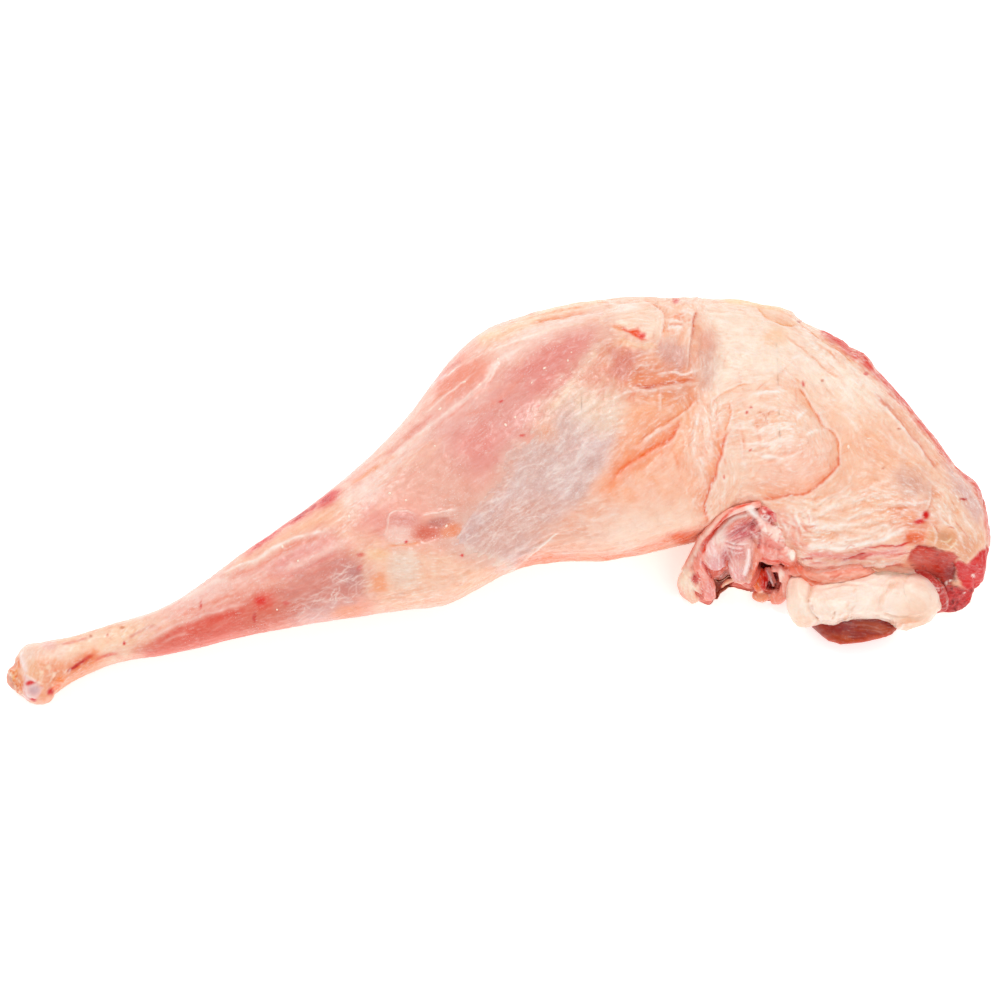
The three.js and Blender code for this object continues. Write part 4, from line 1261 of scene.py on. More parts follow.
# Painted light that lifts the shade the kidney fat casts on the cut
cover.spot((212, -33.4), (6, 4), -30, colour=(226, 130, 120), strength=0.8)
cover.spot((204, -33), (4, 3), -20, colour=(250, 170, 140), strength=0.8)
LOIN_FIBRES = [
    ((216, -33), (10, 8), 20, 120, 1.6, 0.7, [(222, 120, 112), (156, 46, 48)], 21, 60, 0.1, 0.5),
    ((227, -49), (9, 6), 20, 110, 2.2, 1.0, [(232, 100, 96), (132, 16, 28), (222, 16, 18)], 22, 70, 0.6,
        0.8),
    ((237, -35), (6, 8), 40, 40, 2.4, 0.7, [(228, 90, 78), (186, 34, 38)], 23, 40, 0.15, 0.6),
]
for bundle in LOIN_FIBRES:
    cover.fibres(*bundle)
# Painted glints on the wet cut face
for place in ((225.4, -40.4), (223, -41.2), (236.4, -37.4), (219.4, -44.6), (231.6, -46)):
    cover.spot(place, (0.8, 0.6), 30, colour=WHITE_FAT_AND_HIGHLIGHT, strength=0.9)

# The fat that folds over the cut, with painted highlights along its ridges
cover.patch(
    [(214, -14), (226, -12), (240, -16), (242.5, -22.6), (236.5, -28), (233.7, -31), (229.5, -27.6),
    (227, -25.4), (220, -23.6), (214, -21)], 1.6, colour=(246, 200, 172), strength=0.75, kind="fat",
    rise=1.3,
)
cover.patch(
    [(216, -19), (222, -16), (232, -19), (240, -19), (238, -25), (233.6, -30), (228, -25.6), (220, -23.4)],
    2.0, colour=(234, 166, 132), strength=0.7,
)
cover.spot((221, -20), (6.5, 5), -10, colour=(234, 170, 132), strength=0.8)
cover.spot((222, -19), (3.6, 2.6), -10, colour=(214, 156, 126), strength=0.7)
# Painted highlights along the fat's ridges
for path in (
    [(214, -10), (217, -14), (218, -19), (216, -23)], [(224, -6), (225, -12), (228, -17), (231, -24)],
    [(230, -4), (232, -10), (236, -16), (238, -23)], [(219, -4), (221, -10), (225, -14)],
):
    cover.stroke(path, 1.4, broken=0.4, colour=WHITE_FAT_AND_HIGHLIGHT, strength=0.7, rise=0.4)
for path in (
    [(216, -12), (219, -15), (220, -17)], [(227, -10), (229, -14), (233, -20)], [(222, -13), (227, -15)],
):
    cover.stroke(path, 0.9, broken=0.2, colour=(226, 110, 80), strength=0.7, rise=-0.3)
for path in (
    [(217, -23.5), (221, -24.5), (226, -23), (228, -19)], [(219, -20.5), (223, -21), (225.5, -18.5)],
):
    cover.stroke(path, 1.2, colour=(250, 222, 190), strength=0.8, rise=0.4)
cover.spot((206.4, -19.4), (4.6, 2.4), 6, colour=(230, 110, 74), strength=0.8)

# The flank turns white and pink beside the fold; the pale paint also lifts the shade where they meet.
cover.stroke(
    [(136, -3), (140, -8), (145, -15), (149, -23), (152, -30)], 12, broken=0.3, colour=(246, 180, 160),
    strength=0.8,
)
cover.fibres(
    (147, -15), (7, 13), -62, 50, 9, 1.2, [WHITE_FAT_AND_HIGHLIGHT, (238, 140, 120), WHITE_FAT_AND_HIGHLIGHT], 26, 30, 0.2, 0.7,
)

# The hollow that the flank's edge folds round, and its two openings, darkened with painted shade
FLANK_HOLLOW = [
    (126, -4), (120, -5), (113, -9), (107, -15), (102, -21), (99, -28), (93, -36), (86, -44), (94, -54),
    (110, -58), (122, -52), (136, -56), (146, -54), (145, -38), (142, -30), (137, -20), (132, -11),
]
cover.patch(FLANK_HOLLOW, 2.0, colour=(222, 112, 98), strength=0.95, kind="muscle", back=2.0)
OPENINGS = [
    ((170, 92, 78), [(106, -39), (110, -38), (113, -35), (116, -38), (115, -43), (111, -47), (108, -51),
        (107, -45)]),
    ((150, 46, 44), [(128, -28), (132, -31), (138, -33), (139, -39), (137, -44), (133, -43), (130, -36)]),
]
for colour, outline in OPENINGS:
    cover.patch(outline, 1.2, colour=colour, strength=1.0, back=4.0)

# The edge draws back over the kidney fat.
SUET_BED = [(182, -34), (190, -29), (206, -28), (216, -33), (220, -42), (216, -50), (186, -48)]
UNDER_SUET = [
    (183, -37.5), (187, -35), (192, -33.4), (199, -33.2), (206, -34.8), (212, -37.6), (217, -41.5),
    (217, -50), (186, -48),
]
cover.patch(SUET_BED, 4, ragged=0, back=4.0)
cover.patch(UNDER_SUET, 1.2, ragged=0, colour=(253, 230, 214), strength=0.9, back=6.0)

cover.lift += 0.35 * clouds(cover.points, 10, 3) + 0.15 * clouds(cover.points, 3.5, 4)
cover.finish()

fat_cover = tissue_material("fat_cover", 0.5, 0.1, 0.12)
for part in divided(trunk, ("film_over_thigh", "rump", "flank_and_loin")):
    part.data.materials.append(fat_cover)
    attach(part, "root")
    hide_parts("hindquarter")
bpy.data.objects.remove(whole)

# Flank fold
# The thin edge of the flank, cut loose and folded in: a pale rim, silvery lobes of lining, red meat and fat
# that curl down to the floor. Lumps and cords joined in one soft surface that stands on the solid's fold.

FOLD_GRID = 0.5
FOLD_PASSES = 5


def at_height(across, up, height):
    """The point at a height above the floor that shows at a place."""
    ray = LOOK_AT + (across, 0, 0) + upward * up - eye
    return eye + ray * (height - eye[2]) / ray[2]


def cord_shape(path, radii, sides=14):
    """A round cord with blunt ends through places given with their heights, as points and faces."""
    line = curve_through([at_height(*place) for place in path])
    girth = np.interp(np.linspace(0, 1, len(line)), np.linspace(0, 1, len(radii)), radii)
    along = np.gradient(line, axis=0)
    along /= np.linalg.norm(along, axis=1)[:, None]
    aside = np.cross(along, ahead)
    aside /= np.linalg.norm(aside, axis=1)[:, None]
    raised = np.cross(aside, along)
    points = []
    for place, size, first, second in zip(line, girth, aside, raised):
        for turn in np.arange(sides) / sides * 2 * math.pi:
            points.append(place + size * (math.cos(turn) * first + math.sin(turn) * second))
    points += [line[0] - along[0] * girth[0] * 0.6, line[-1] + along[-1] * girth[-1] * 0.6]
    faces = []
    for ring in range(len(line) - 1):
        for side in range(sides):
            a, b = ring * sides + side, ring * sides + (side + 1) % sides
            faces.append((a, b, b + sides, a + sides))
    last = (len(line) - 1) * sides
    for side in range(sides):
        faces.append(((side + 1) % sides, side, len(points) - 2))
        faces.append((last + side, last + (side + 1) % sides, len(points) - 1))
    return points, faces


def egg_shape(across, up, height, half, turn=0.0):
    """An egg from its middle and its half sizes across, up and in depth, turned on the drawing plane."""
    ball = bmesh.new()
    bmesh.ops.create_icosphere(ball, subdivisions=4, radius=1)
    angle = math.radians(turn)
    first = math.cos(angle) * rightward + math.sin(angle) * upward
    second = math.cos(angle) * upward - math.sin(angle) * rightward
    middle = at_height(across, up, height)
    points = [
        middle + half[0] * p.co.x * first + half[1] * p.co.y * second - half[2] * p.co.z * ahead
        for p in ball.verts
    ]
    faces = [[corner.index for corner in face.verts] for face in ball.faces]
    ball.free()
    return points, faces


def joined(name, shapes, grid, passes):
    """One object with an even soft surface over several closed shapes."""
    points, faces = [], []
    for shape_points, shape_faces in shapes:
        faces += [[corner + len(points) for corner in face] for face in shape_faces]
        points += shape_points
    mesh = bpy.data.meshes.new(name)
    mesh.from_pydata((np.array(points) * MM).tolist(), [], faces)
    shape = bmesh.new()
    shape.from_mesh(mesh)
    bmesh.ops.recalc_face_normals(shape, faces=shape.faces)
    shape.to_mesh(mesh)
    shape.free()
    piece = new_object(name, mesh)
    even_skin(piece, grid)
    smooth(piece.data, passes)
    return piece


RIM_PATH = [
    (130, -2, 51), (120, -4.3, 51), (112, -7.8, 48), (107.5, -12, 43), (103, -16.5, 37), (100, -21, 30.5),
    (97.5, -26, 25), (95, -31, 20.5), (92.5, -35.5, 16.5),
]
TENDON_PATH = [(122, -3, 50), (125, -4.6, 48), (128.5, -8, 44), (131, -12.5, 40), (133.5, -17, 36.5)]
SALMON_PATH = [(128, -19, 33), (128.4, -26, 31), (127.4, -32, 29), (125, -37.5, 25.5), (124, -41, 22)]
RIDGE_PATH = [(124.4, -24, 34), (124.2, -29, 33), (123.2, -34, 31), (121.6, -38, 28)]
CURL_PATH = [
    (136, -34.5, 22), (140.5, -34.3, 23), (143.4, -38, 21), (143, -44, 14.5), (140, -49, 8),
    (136, -50.5, 5),
]
fold_shapes = [
    cord_shape(RIM_PATH, [1.6, 1.9, 2.0, 2.0, 2.0, 2.0, 2.2, 2.2]),
    cord_shape(TENDON_PATH, [1.6, 2.2, 1.8, 1.5, 1.3]),
    cord_shape(SALMON_PATH, [1.4, 1.8, 1.8, 1.7, 1.3]),
    cord_shape(RIDGE_PATH, [1.0, 1.5, 1.5, 1.0]),
    cord_shape(CURL_PATH, [1.6, 2.2, 2.6, 2.9, 2.9, 2.0]),
    cord_shape([(125, -7, 43), (119, -9, 41.5), (113.5, -13.5, 37), (108.5, -19, 31.5), (105.5, -25, 26.5)],
        [4, 5, 5.4, 5.4, 4.5]),
    cord_shape([(125, -13, 37), (119, -16, 34), (113, -21, 31), (109.5, -27, 28)], [5, 6, 6.2, 5.5]),
    cord_shape([(112, -15, 31), (108.8, -21, 29.5), (107.8, -27, 28), (109, -33, 24.5)],
        [6.5, 7, 6.6, 4.8]),
    cord_shape([(120, -18, 30), (120.5, -26, 28), (119.8, -33, 25), (121, -39.5, 20.5)], [8, 7, 6, 4.8]),
    cord_shape([(99, -28.5, 23), (101, -35, 19), (103, -42, 13.5), (104.6, -48.5, 7)],
        [3.2, 4.4, 4.4, 3.6]),
    cord_shape([(95.5, -34.5, 17.5), (92.8, -40, 13), (93.6, -45, 8.5), (98, -49.5, 5)],
        [2.8, 4.0, 4.2, 3.4]),
    cord_shape([(132.7, -34, 18), (134.8, -38, 15), (136.8, -42.5, 11.5)], [1.0, 1.1, 0.9]),
    cord_shape([(134.6, -33.5, 18), (136.2, -37.5, 15), (137.8, -41, 12)], [0.7, 0.8, 0.6]),
    cord_shape([(110.5, -43.5, 8), (113.5, -41, 9.5), (117, -40, 10)], [0.8, 1.2, 0.9]),
    cord_shape([(140.4, -36.4, 22), (140.8, -40.5, 18.5)], [1.5, 1.3]),
    egg_shape(117, -15, 31, (12.5, 10.5, 7), 30),
    egg_shape(119.5, -8.5, 41, (8.5, 5.5, 6), 30),
    egg_shape(103.5, -27, 25, (5, 8, 5), 20),
    egg_shape(99, -39, 13.5, (5, 8, 4), 20),
    egg_shape(129, -14.5, 36.5, (4.5, 8, 5), 15),
    egg_shape(130, -24, 30, (4.5, 7, 5)),
    cord_shape([(206, -35.6, 27), (212, -38.6, 28), (217, -43, 27), (220, -48, 22), (220.5, -54, 17)],
        [2.8, 3.4, 3.8, 4, 3.6]),
    cord_shape([(151, -33.6, 27), (158, -34.4, 29), (166, -34.2, 29.4), (174, -33.2, 29.4),
        (181, -32.2, 29.4), (187, -32.6, 29)], [2.4, 3.0, 3.2, 3.2, 3.0, 2.2]),
    egg_shape(147.5, -34.2, 26, (5.5, 4, 5), -10),
    cord_shape([(150, -39.4, 22), (157, -40.6, 22.4), (164, -41, 23.2), (172, -41.2, 24),
        (180, -39.6, 24.4), (188, -36.8, 24.6)], [3.4, 3.8, 3.8, 3.8, 3.8, 3.0]),
    egg_shape(136.5, -24, 29, (9, 8.5, 6.5)),
    egg_shape(139, -15, 38, (9, 9, 5.5), -30),
    egg_shape(144, -26, 32, (6, 7, 5)),
    egg_shape(146.2, -27.6, 37, (1.6, 3.0, 1.4)),
    egg_shape(135.5, -6.5, 46.5, (7, 4, 4), -20),
    egg_shape(132, -11, 42, (4.5, 7, 3.5), 20),
    cord_shape([(151.6, -35.4, 26), (158, -36.4, 27), (168, -37, 28), (180, -35.6, 28), (188, -33.4, 28),
        (196, -31.4, 27)], [3.2, 4.4, 4.2, 3.4, 2.8, 2.2]),
    egg_shape(130, -40, 12.5, (4.0, 6.5, 4)),
    egg_shape(130.5, -48, 5.5, (4.6, 3.2, 3.5)),
    egg_shape(138, -47.5, 7, (3.5, 3, 3)),
]
fold = joined("flank_fold", fold_shapes, FOLD_GRID, FOLD_PASSES)
FOLD_GUIDES = [
    (121, -15, 25), (112, -10, 40), (108, -27, -75), (119, -35, -85), (128, -28, -88), (97, -40, -60),
    (104, -44, -72), (140, -15, -60), (137, -25, -10), (170, -38, 2), (200, -36, -4), (142, -44, -80),
    (130, -44, -80),
]
lining = Skin(fold.data, (244, 158, 142), "muscle", FOLD_GUIDES, wobble=0.35, wrinkled=0.6)

LINING = (241, 190, 178)
LINING_PINK = (222, 132, 130)
FOLD_SALMON = (240, 156, 132)
lining.patch(
    [(102, -22), (105, -17.5), (109, -13), (114, -8), (119, -5), (124, -4), (128, -9), (130, -16),
    (130, -23), (127, -33), (125.5, -45.5), (120, -45.5), (116, -42), (114, -36.5), (112, -37),
    (109, -39.5), (105, -38), (102, -30)], 1.0, colour=LINING, strength=1.0, kind="film",
)

# Colours of the lining, among them painted highlights: place, half size, turn, colour and strength
LINING_SPOTS = [
    # The silver sheen on the upper lobe, a painted highlight
    ((109, -18.5), (5, 3.6), 40, (248, 222, 210), 0.9),
    ((105.5, -25), (3, 5), 10, (243, 202, 198), 0.8),
    ((109, -33), (5, 5), 0, (234, 168, 170), 0.9),
    ((113, -28.5), (2.2, 4.5), 10, (206, 110, 112), 0.9),
    ((121, -15), (8, 5), 25, (216, 116, 118), 1.0),
    ((126.5, -15), (2.6, 5), 0, (206, 92, 92), 0.8),
    ((119.5, -6.5), (4.5, 1.8), 28, (248, 184, 172), 0.9),
    ((119, -27), (5, 4), 0, (223, 146, 140), 0.9),
    ((119, -38), (4.5, 4.5), 0, (236, 160, 156), 0.9),
    ((120.5, -42), (3, 2), 0, (240, 170, 150), 0.8),
    ((93.5, -41), (9, 5.4), -60, (250, 226, 204), 1.0),
    ((96.8, -50), (5, 2.5), -40, (248, 206, 180), 0.9),
    ((97.6, -39.5), (1.8, 2.8), 10, (200, 44, 44), 1.0),
    ((104.5, -45), (2.6, 5.5), 15, (240, 156, 150), 0.9),
    ((137, -25.5), (8, 6.5), 0, (243, 164, 150), 0.9),
    ((152, -40), (6, 6), 0, (240, 134, 110), 0.9),
    # White marks by the flank, partly fat and partly painted light against the shade where they meet
    ((141, -18.5), (4, 4), 0, (252, 222, 204), 0.9),
    ((147, -22), (3, 4), 0, (254, 232, 216), 0.8),
    ((145, -11), (3.5, 3), -30, (254, 232, 216), 0.8),
    ((137.5, -16), (3, 4), 30, (252, 230, 214), 0.8),
    ((146, -26), (2.5, 4), 10, (254, 236, 222), 0.9),
    ((135.5, -6), (5, 3.4), 0, (224, 70, 62), 0.9),
    ((139, -14), (3, 5), 30, (226, 92, 84), 0.7),
    # A painted glint on the red meat
    ((133, -9.2), (2.4, 1.6), 20, (255, 240, 232), 1.0),
    ((142.5, -5.5), (4.5, 2.5), 20, (254, 234, 220), 0.9),
    ((139.5, -11), (4, 3), 0, (236, 120, 112), 0.8),
    ((128.4, -40), (2.8, 6), 0, (242, 110, 62), 1.0),
    ((132.4, -40), (2.2, 6), 0, (212, 34, 38), 1.0),
    ((130.5, -48.5), (4.6, 3), 0, (246, 164, 128), 0.9),
    ((140.6, -38), (1.7, 3.2), 0, (254, 228, 214), 1.0),
    ((143.6, -34), (2.0, 1.4), -20, (150, 40, 44), 0.8),
]
for place, half, turn, colour, strength in LINING_SPOTS:
    lining.spot(place, half, turn, colour=colour, strength=strength)

# Lines on the fold, among them painted highlights and a line of painted shade: width, rise, colour and path
FOLD_LINES = [
    (12.0, 0.0, (247, 166, 142), [(148, -38), (160, -38), (175, -37.5), (190, -36), (202, -37)]),
    (12.0, 0.0, (196, 62, 58), [(200, -34), (206, -36), (214, -40), (219, -45), (222, -52), (222, -62)]),
    (3.4, 0.0, (247, 176, 156), [(150, -32.6), (158, -33.4), (166, -33.2), (174, -32.4), (181, -31.4),
        (187, -31.6)]),
    (2.0, 0.0, (240, 120, 84), [(150, -39.6), (157, -41), (164, -41.2), (172, -41.4), (180, -39.6),
        (188, -36.8)]),
    (2.0, 0.3, (250, 190, 170), [(158, -36.5), (166, -38), (176, -37.5), (184, -36)]),
    (1.6, 0.3, (250, 196, 176), [(160, -40.5), (168, -41), (176, -40)]),
    # A thin dark line of painted shade in the crevice behind the kidney fat's top
    (1.2, -0.5, (170, 84, 66), [(168, -42), (173, -41.4), (180, -39.6)]),
    (4.0, -0.3, (228, 80, 62), [(191, -33.5), (198, -33), (204, -35)]),
    (4.0, 0.0, (250, 202, 184), [place[:2] for place in RIM_PATH]),
    (1.4, 0.0, (242, 160, 148), [(112, -9.5), (107.8, -14), (103.6, -19), (100.6, -24), (97.6, -30)]),
    (2.2, -0.6, (238, 84, 60), [(127, -1.4), (122.3, -2.2), (117.3, -4.4), (113.6, -7.6), (110, -12),
        (106, -17), (102.6, -22), (101.8, -25), (99.8, -28)]),
    (3.2, 0.2, (255, 236, 226), [place[:2] for place in TENDON_PATH]),
    (3.6, 0.0, FOLD_SALMON, [place[:2] for place in SALMON_PATH]),
    # A painted highlight along the ridge of the lower lobe
    (2.6, 0.3, (252, 232, 228), [place[:2] for place in RIDGE_PATH]),
    (3.0, 0.0, (238, 138, 116), [(113.5, -15.5), (117, -12), (122, -9.8), (126.5, -8.6)]),
    (1.6, 0.3, (250, 226, 216), [(111, -14), (115.5, -10), (120, -8), (124, -7.4)]),
    (2.6, -0.3, (190, 80, 78), [(127.3, -11), (129.4, -16), (130, -21), (129, -25)]),
    (1.0, 0.3, (250, 224, 220), [(112, -20), (116, -21.6), (120, -22), (124.5, -21.6)]),
    (0.9, 0.3, (248, 216, 214), [(112, -22.4), (117, -24), (121.5, -24.2)]),
    (0.9, 0.3, (248, 216, 214), [(113.6, -25), (118, -26.4), (121.6, -26)]),
    (0.8, -0.3, LINING_PINK, [(112, -21.3), (117, -22.8), (122, -23)]),
    (0.8, -0.3, LINING_PINK, [(113.5, -23.8), (118, -25.3), (122, -25)]),
    (1.8, 0.2, (247, 190, 122), [(116.4, -41.4), (120.4, -44.2), (125, -44.8)]),
    (1.4, -0.6, (214, 66, 60), [(100.4, -30.5), (104, -35.5), (106, -39.5)]),
    (1.2, -0.3, (226, 96, 84), [(98.4, -35), (100.4, -42), (101.6, -50)]),
    (5.0, 0.0, (240, 124, 98), [(141, -33), (146, -33.6), (152, -35)]),
    (2.0, -0.4, (236, 92, 72), [(130.5, -29), (135, -31), (140, -31), (145, -33)]),
    (1.2, 0.2, (244, 176, 164), [(133, -27), (138, -28.4), (142, -28)]),
    (2.0, 0.0, (188, 150, 152), [(132.7, -34), (134.8, -38), (136.8, -42.5)]),
    # A painted highlight along the grey vessel
    (0.7, 0.2, (246, 226, 224), [(133.2, -35), (135.2, -39), (136.8, -42)]),
    (0.9, 0.2, (250, 210, 190), [(128, -47), (130.6, -46), (133.5, -47.5)]),
    (1.2, -0.4, (222, 70, 58), [(130.6, -44.5), (133.4, -46), (136, -46)]),
    (2.0, 0.0, (252, 214, 180), [(110.5, -43.5), (113.5, -41), (117, -40)]),
    (1.6, -0.5, (214, 60, 60), [(131, -4), (135, -8.4), (136.4, -12), (139, -13)]),
]
for width, rise, colour, path in FOLD_LINES:
    lining.stroke(path, width, broken=0.2, taper=0.08, colour=colour, strength=0.95, rise=rise)
FOLD_FIBRES = [
    ((121, -15), (9, 6), 25, 50, 7, 0.6, [(240, 176, 172), (196, 90, 94)], 31, 6, 0.15, 0.7),
    ((108, -27), (6, 10), -75, 50, 6, 0.6, [(252, 232, 230), LINING_PINK], 32, 10, 0.1, 0.5),
    ((119, -35), (4, 8), -85, 30, 6, 0.6, [(252, 232, 230), LINING_PINK], 33, 8, 0.1, 0.5),
    ((102, -40), (6, 12), -70, 40, 5, 0.8, [(250, 200, 186), (232, 120, 110)], 34, 16, 0.2, 0.6),
    ((137, -14), (8, 12), -60, 60, 7, 1.0, [WHITE_FAT_AND_HIGHLIGHT, (232, 110, 100), PALE_PINK], 35, 25, 0.1, 0.6),
    ((219, -47), (9, 3), -60, 60, 2.2, 1.0, [(220, 90, 80), (140, 22, 32), (214, 30, 30)], 39, 60, 0.1,
        0.5),
    ((138, -46), (7, 5), 10, 40, 3, 0.8, [(254, 226, 210), (236, 120, 96)], 36, 50, 0.25, 0.6),
    ((170, -38), (26, 5), 2, 80, 7, 1.0, [(250, 196, 178), (232, 106, 84), (246, 168, 146)], 37, 14, 0.3,
        0.6),
    ((143, -16), (8, 16), 60, 60, 8, 1.6, [WHITE_FAT_AND_HIGHLIGHT, (244, 160, 146), (252, 220, 204)], 38, 25, 0.1, 0.7),
]
for bundle in FOLD_FIBRES:
    lining.fibres(*bundle)
lining.fold(6, 1.6, 55, 0.12, 0.4, 0.45)
lining.lift += 0.2 * clouds(lining.points, 4, 3) + 0.08 * clouds(lining.points, 1.8, 4)

# Marks on top of the fine folds, among them painted glints: place, half size, turn, colour and strength
FOLD_MARKS = [
    ((135.6, -22.4), (5.4, 4.6), 0, (240, 146, 134), 0.85),
    ((137, -15.6), (3.6, 4.6), 25, (254, 226, 212), 0.8),
    ((143.6, -13), (3.6, 6), 35, (254, 230, 214), 0.7),
    ((137, -7.4), (6.6, 4.8), -20, (222, 100, 98), 0.9),
    ((140, -11.4), (3, 2.6), 0, (230, 116, 112), 0.85),
    ((134.8, -9.4), (1.2, 3.4), 10, (190, 36, 48), 0.9),
    # Painted glints on the red meat
    ((133.4, -9), (1.8, 0.9), 20, (255, 244, 238), 0.9),
    ((136.6, -5), (1.2, 0.7), 0, (255, 232, 226), 0.9),
    ((139, -8), (0.9, 1.1), 0, (252, 206, 200), 0.9),
    ((126.4, -5.4), (3.2, 1.7), -50, (255, 248, 242), 0.95),
    ((130.4, -38), (3.2, 6), 8, (236, 84, 52), 0.9),
    ((128, -42), (1.8, 5), 6, (242, 128, 84), 0.9),
    ((133, -42), (2.2, 4), 0, (206, 24, 30), 0.8),
    ((130.6, -49.6), (4.8, 2.6), 0, (245, 160, 126), 0.9),
    ((138.4, -48.6), (4.6, 3.2), 20, (240, 150, 126), 0.8),
    ((142.8, -42), (2.4, 5), 6, (248, 176, 156), 0.8),
    ((146.2, -27.4), (1.6, 3), 8, (255, 244, 232), 0.95),
]
for place, half, turn, colour, strength in FOLD_MARKS:
    lining.spot(place, half, turn, colour=colour, strength=strength)
FOLD_THREADS = [
    ((138, -9), (8, 5), -30, 50, 4, 0.8, [WHITE_FAT_AND_HIGHLIGHT, (206, 70, 72), (250, 196, 188)], 40, 50, 0.3, 0.9),
    ((139, -20), (7, 8), 20, 50, 4, 0.8, [WHITE_FAT_AND_HIGHLIGHT, (230, 110, 100), (252, 206, 192)], 45, 40, 0.3, 0.7),
]
for bundle in FOLD_THREADS:
    lining.fibres(*bundle)
lining.finish()
fold.data.materials.append(tissue_material("flank_lining", 0.3, 0.3, 0.1))
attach(fold, "root")
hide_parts("hindquarter")

# Kidney fat
# A soft lump of cream suet in front of the loin, with a round lobe at one end and a torn lower edge over the
# kidney. It is the frame's lump, its front edge drawn up off the kidney.

FAT_GRID = 0.7
FAT_PASSES = 60
LUMP_PASSES = 12
FAT_FOLD = 12.0
FAT_EDGE = [
    (140, -52), (142.6, -55), (146, -61), (149, -63.3), (154, -64), (160, -62.2), (167, -62.8), (171, -61),
    (176, -59.8), (189, -59.6), (195, -61.5), (199, -64.6), (203, -65.6), (208, -63.4), (214, -61.4),
    (217, -59), (219.5, -55), (223, -53.5),
]
FAT_TOP = [
    (140, -45), (142.6, -42.5), (144.5, -38.5), (147, -36.4), (149.5, -36.8), (152.5, -39.4),
    (155.5, -41.2), (164, -40.2), (172, -39.6), (184, -35.6), (190, -32.8), (196, -32.2), (206, -34.2),
    (211, -36.8), (215.3, -39.6), (218.5, -44), (223, -48.5),
]
suet = merged_copy("kidney_fat", "suet_form")
even_skin(suet, FAT_GRID)
smooth(suet.data, FAT_PASSES)
draw_edge(suet.data, FAT_EDGE, FAT_FOLD, -1)
draw_edge(suet.data, FAT_TOP, FAT_FOLD, 1)
lump = (points_of(suet.data).tolist(), [list(face.vertices) for face in suet.data.polygons])
bpy.data.objects.remove(suet)
suet = joined("kidney_suet", [lump, egg_shape(207.6, -48.2, 21, (12, 12, 12.5), -12)], FAT_GRID, LUMP_PASSES)

SUET_CREAM = (253, 232, 218)
SUET_GUIDES = [
    (149, -50, 82), (158, -56, -60), (175, -48, 8), (190, -50, 60), (206, -48, -40), (205, -60, 8),
]
cream = Skin(suet.data, SUET_CREAM, "fat", SUET_GUIDES, wobble=0.7, wrinkled=0.35)
# Swellings, with painted shade low down and under the round lobe: place, half size, turn, colour and rise
for place, half, turn, colour, rise in (
    ((206, -47), (12, 9.5), -20, (252, 228, 208), 2.2),
    ((173, -48), (16, 8), 6, (254, 238, 224), 1.0),
    ((149, -50), (6, 12), 0, (251, 226, 206), 1.0),
    ((209, -56), (11, 6), 14, (247, 206, 182), 0.5),
    ((206, -61.5), (9, 3), 8, (241, 186, 156), 0.3),
    ((152, -61), (5, 4), 0, (245, 200, 172), 0.0),
    ((189, -53), (3, 4), 10, (246, 210, 188), 0.0),
):
    cream.spot(place, half, turn, colour=colour, strength=0.7, rise=rise)
# Creases with painted shade in them: width, depth, colour and path
for width, depth, colour, path in (
    (2.2, 1.2, (244, 206, 182), [(200, -40.5), (195, -44), (191.6, -48.5), (189.6, -54)]),
    (1.8, 0.8, (246, 208, 184), [(189, -56), (198, -58.4), (207, -58.4), (213, -57)]),
    (2.4, 1.0, (240, 196, 168), [(155, -40), (156, -44), (154.5, -48), (153.6, -51), (156, -56),
        (161, -62)]),
    (1.2, 0.8, (238, 180, 150), [(166, -60), (167, -57), (168, -55)]),
    (1.6, 0.6, (246, 214, 194), [(160, -45), (170, -43), (182, -43)]),
    (1.4, 0.5, (246, 212, 190), [(200, -62), (208, -61.5), (214, -59)]),
):
    cream.stroke(path, width, broken=0.1, lip=0.25, colour=colour, strength=0.85, rise=-depth)
for place in ((156.4, -53.5), (154.4, -51), (158.5, -59)):
    cream.spot(place, (0.6, 1.2), 20, colour=(196, 116, 84), strength=0.9)
cream.stroke([(154.5, -52), (157.5, -57), (161.5, -62)], 1.0, broken=0.1, colour=(255, 246, 238), rise=0.6)
# Painted shade along the lower edge
cream.stroke(
    [(191, -60), (200, -61.4), (210, -60.4), (216, -57)], 2.0, broken=0.3, colour=(240, 176, 144),
    strength=0.7,
)
SUET_FIBRES = [
    ((172, -59), (16, 3), 70, 34, 4, 1.0, [(255, 246, 238), (240, 190, 164)], 41, 20, 0.5, 0.6),
    ((200, -62), (7, 3), 20, 30, 4, 0.9, [(255, 246, 238), (240, 190, 164)], 42, 30, 0.6, 0.7),
    ((180, -48), (30, 9), 10, 60, 12, 2.0, [(254, 240, 228), (249, 222, 204)], 43, 20, 0.3, 0.4),
]
for bundle in SUET_FIBRES:
    cream.fibres(*bundle)
cream.fold(10, 2.6, 56, 0.15, 0.4, 0.3)
cream.finish()
suet.data.materials.append(tissue_material("suet", 0.25, 0.05, 0.15))
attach(suet, "root")
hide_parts("kidney_fat")

# Kidney
# The smooth red-brown kidney that shows under the front of its fat, with a dark line of painted shadow
# under the fat's edge. It is the frame's kidney, with its front edge drawn to the outline that shows.

KIDNEY_GRID = 0.6
KIDNEY_PASSES = 20
KIDNEY_EDGE = [
    (155, -64), (158.9, -66.8), (164, -70.7), (170.4, -72.4), (182, -71.2), (195, -68.4), (201, -65),
]
organ = merged_copy("kidney", "kidney_organ")
even_skin(organ, KIDNEY_GRID)
smooth(organ.data, KIDNEY_PASSES)
draw_edge(organ.data, KIDNEY_EDGE, 8, -1)
brown = Skin(organ.data, (180, 82, 48), "fat", [(178, -66, -4)], wobble=0.5, wrinkled=0.15)
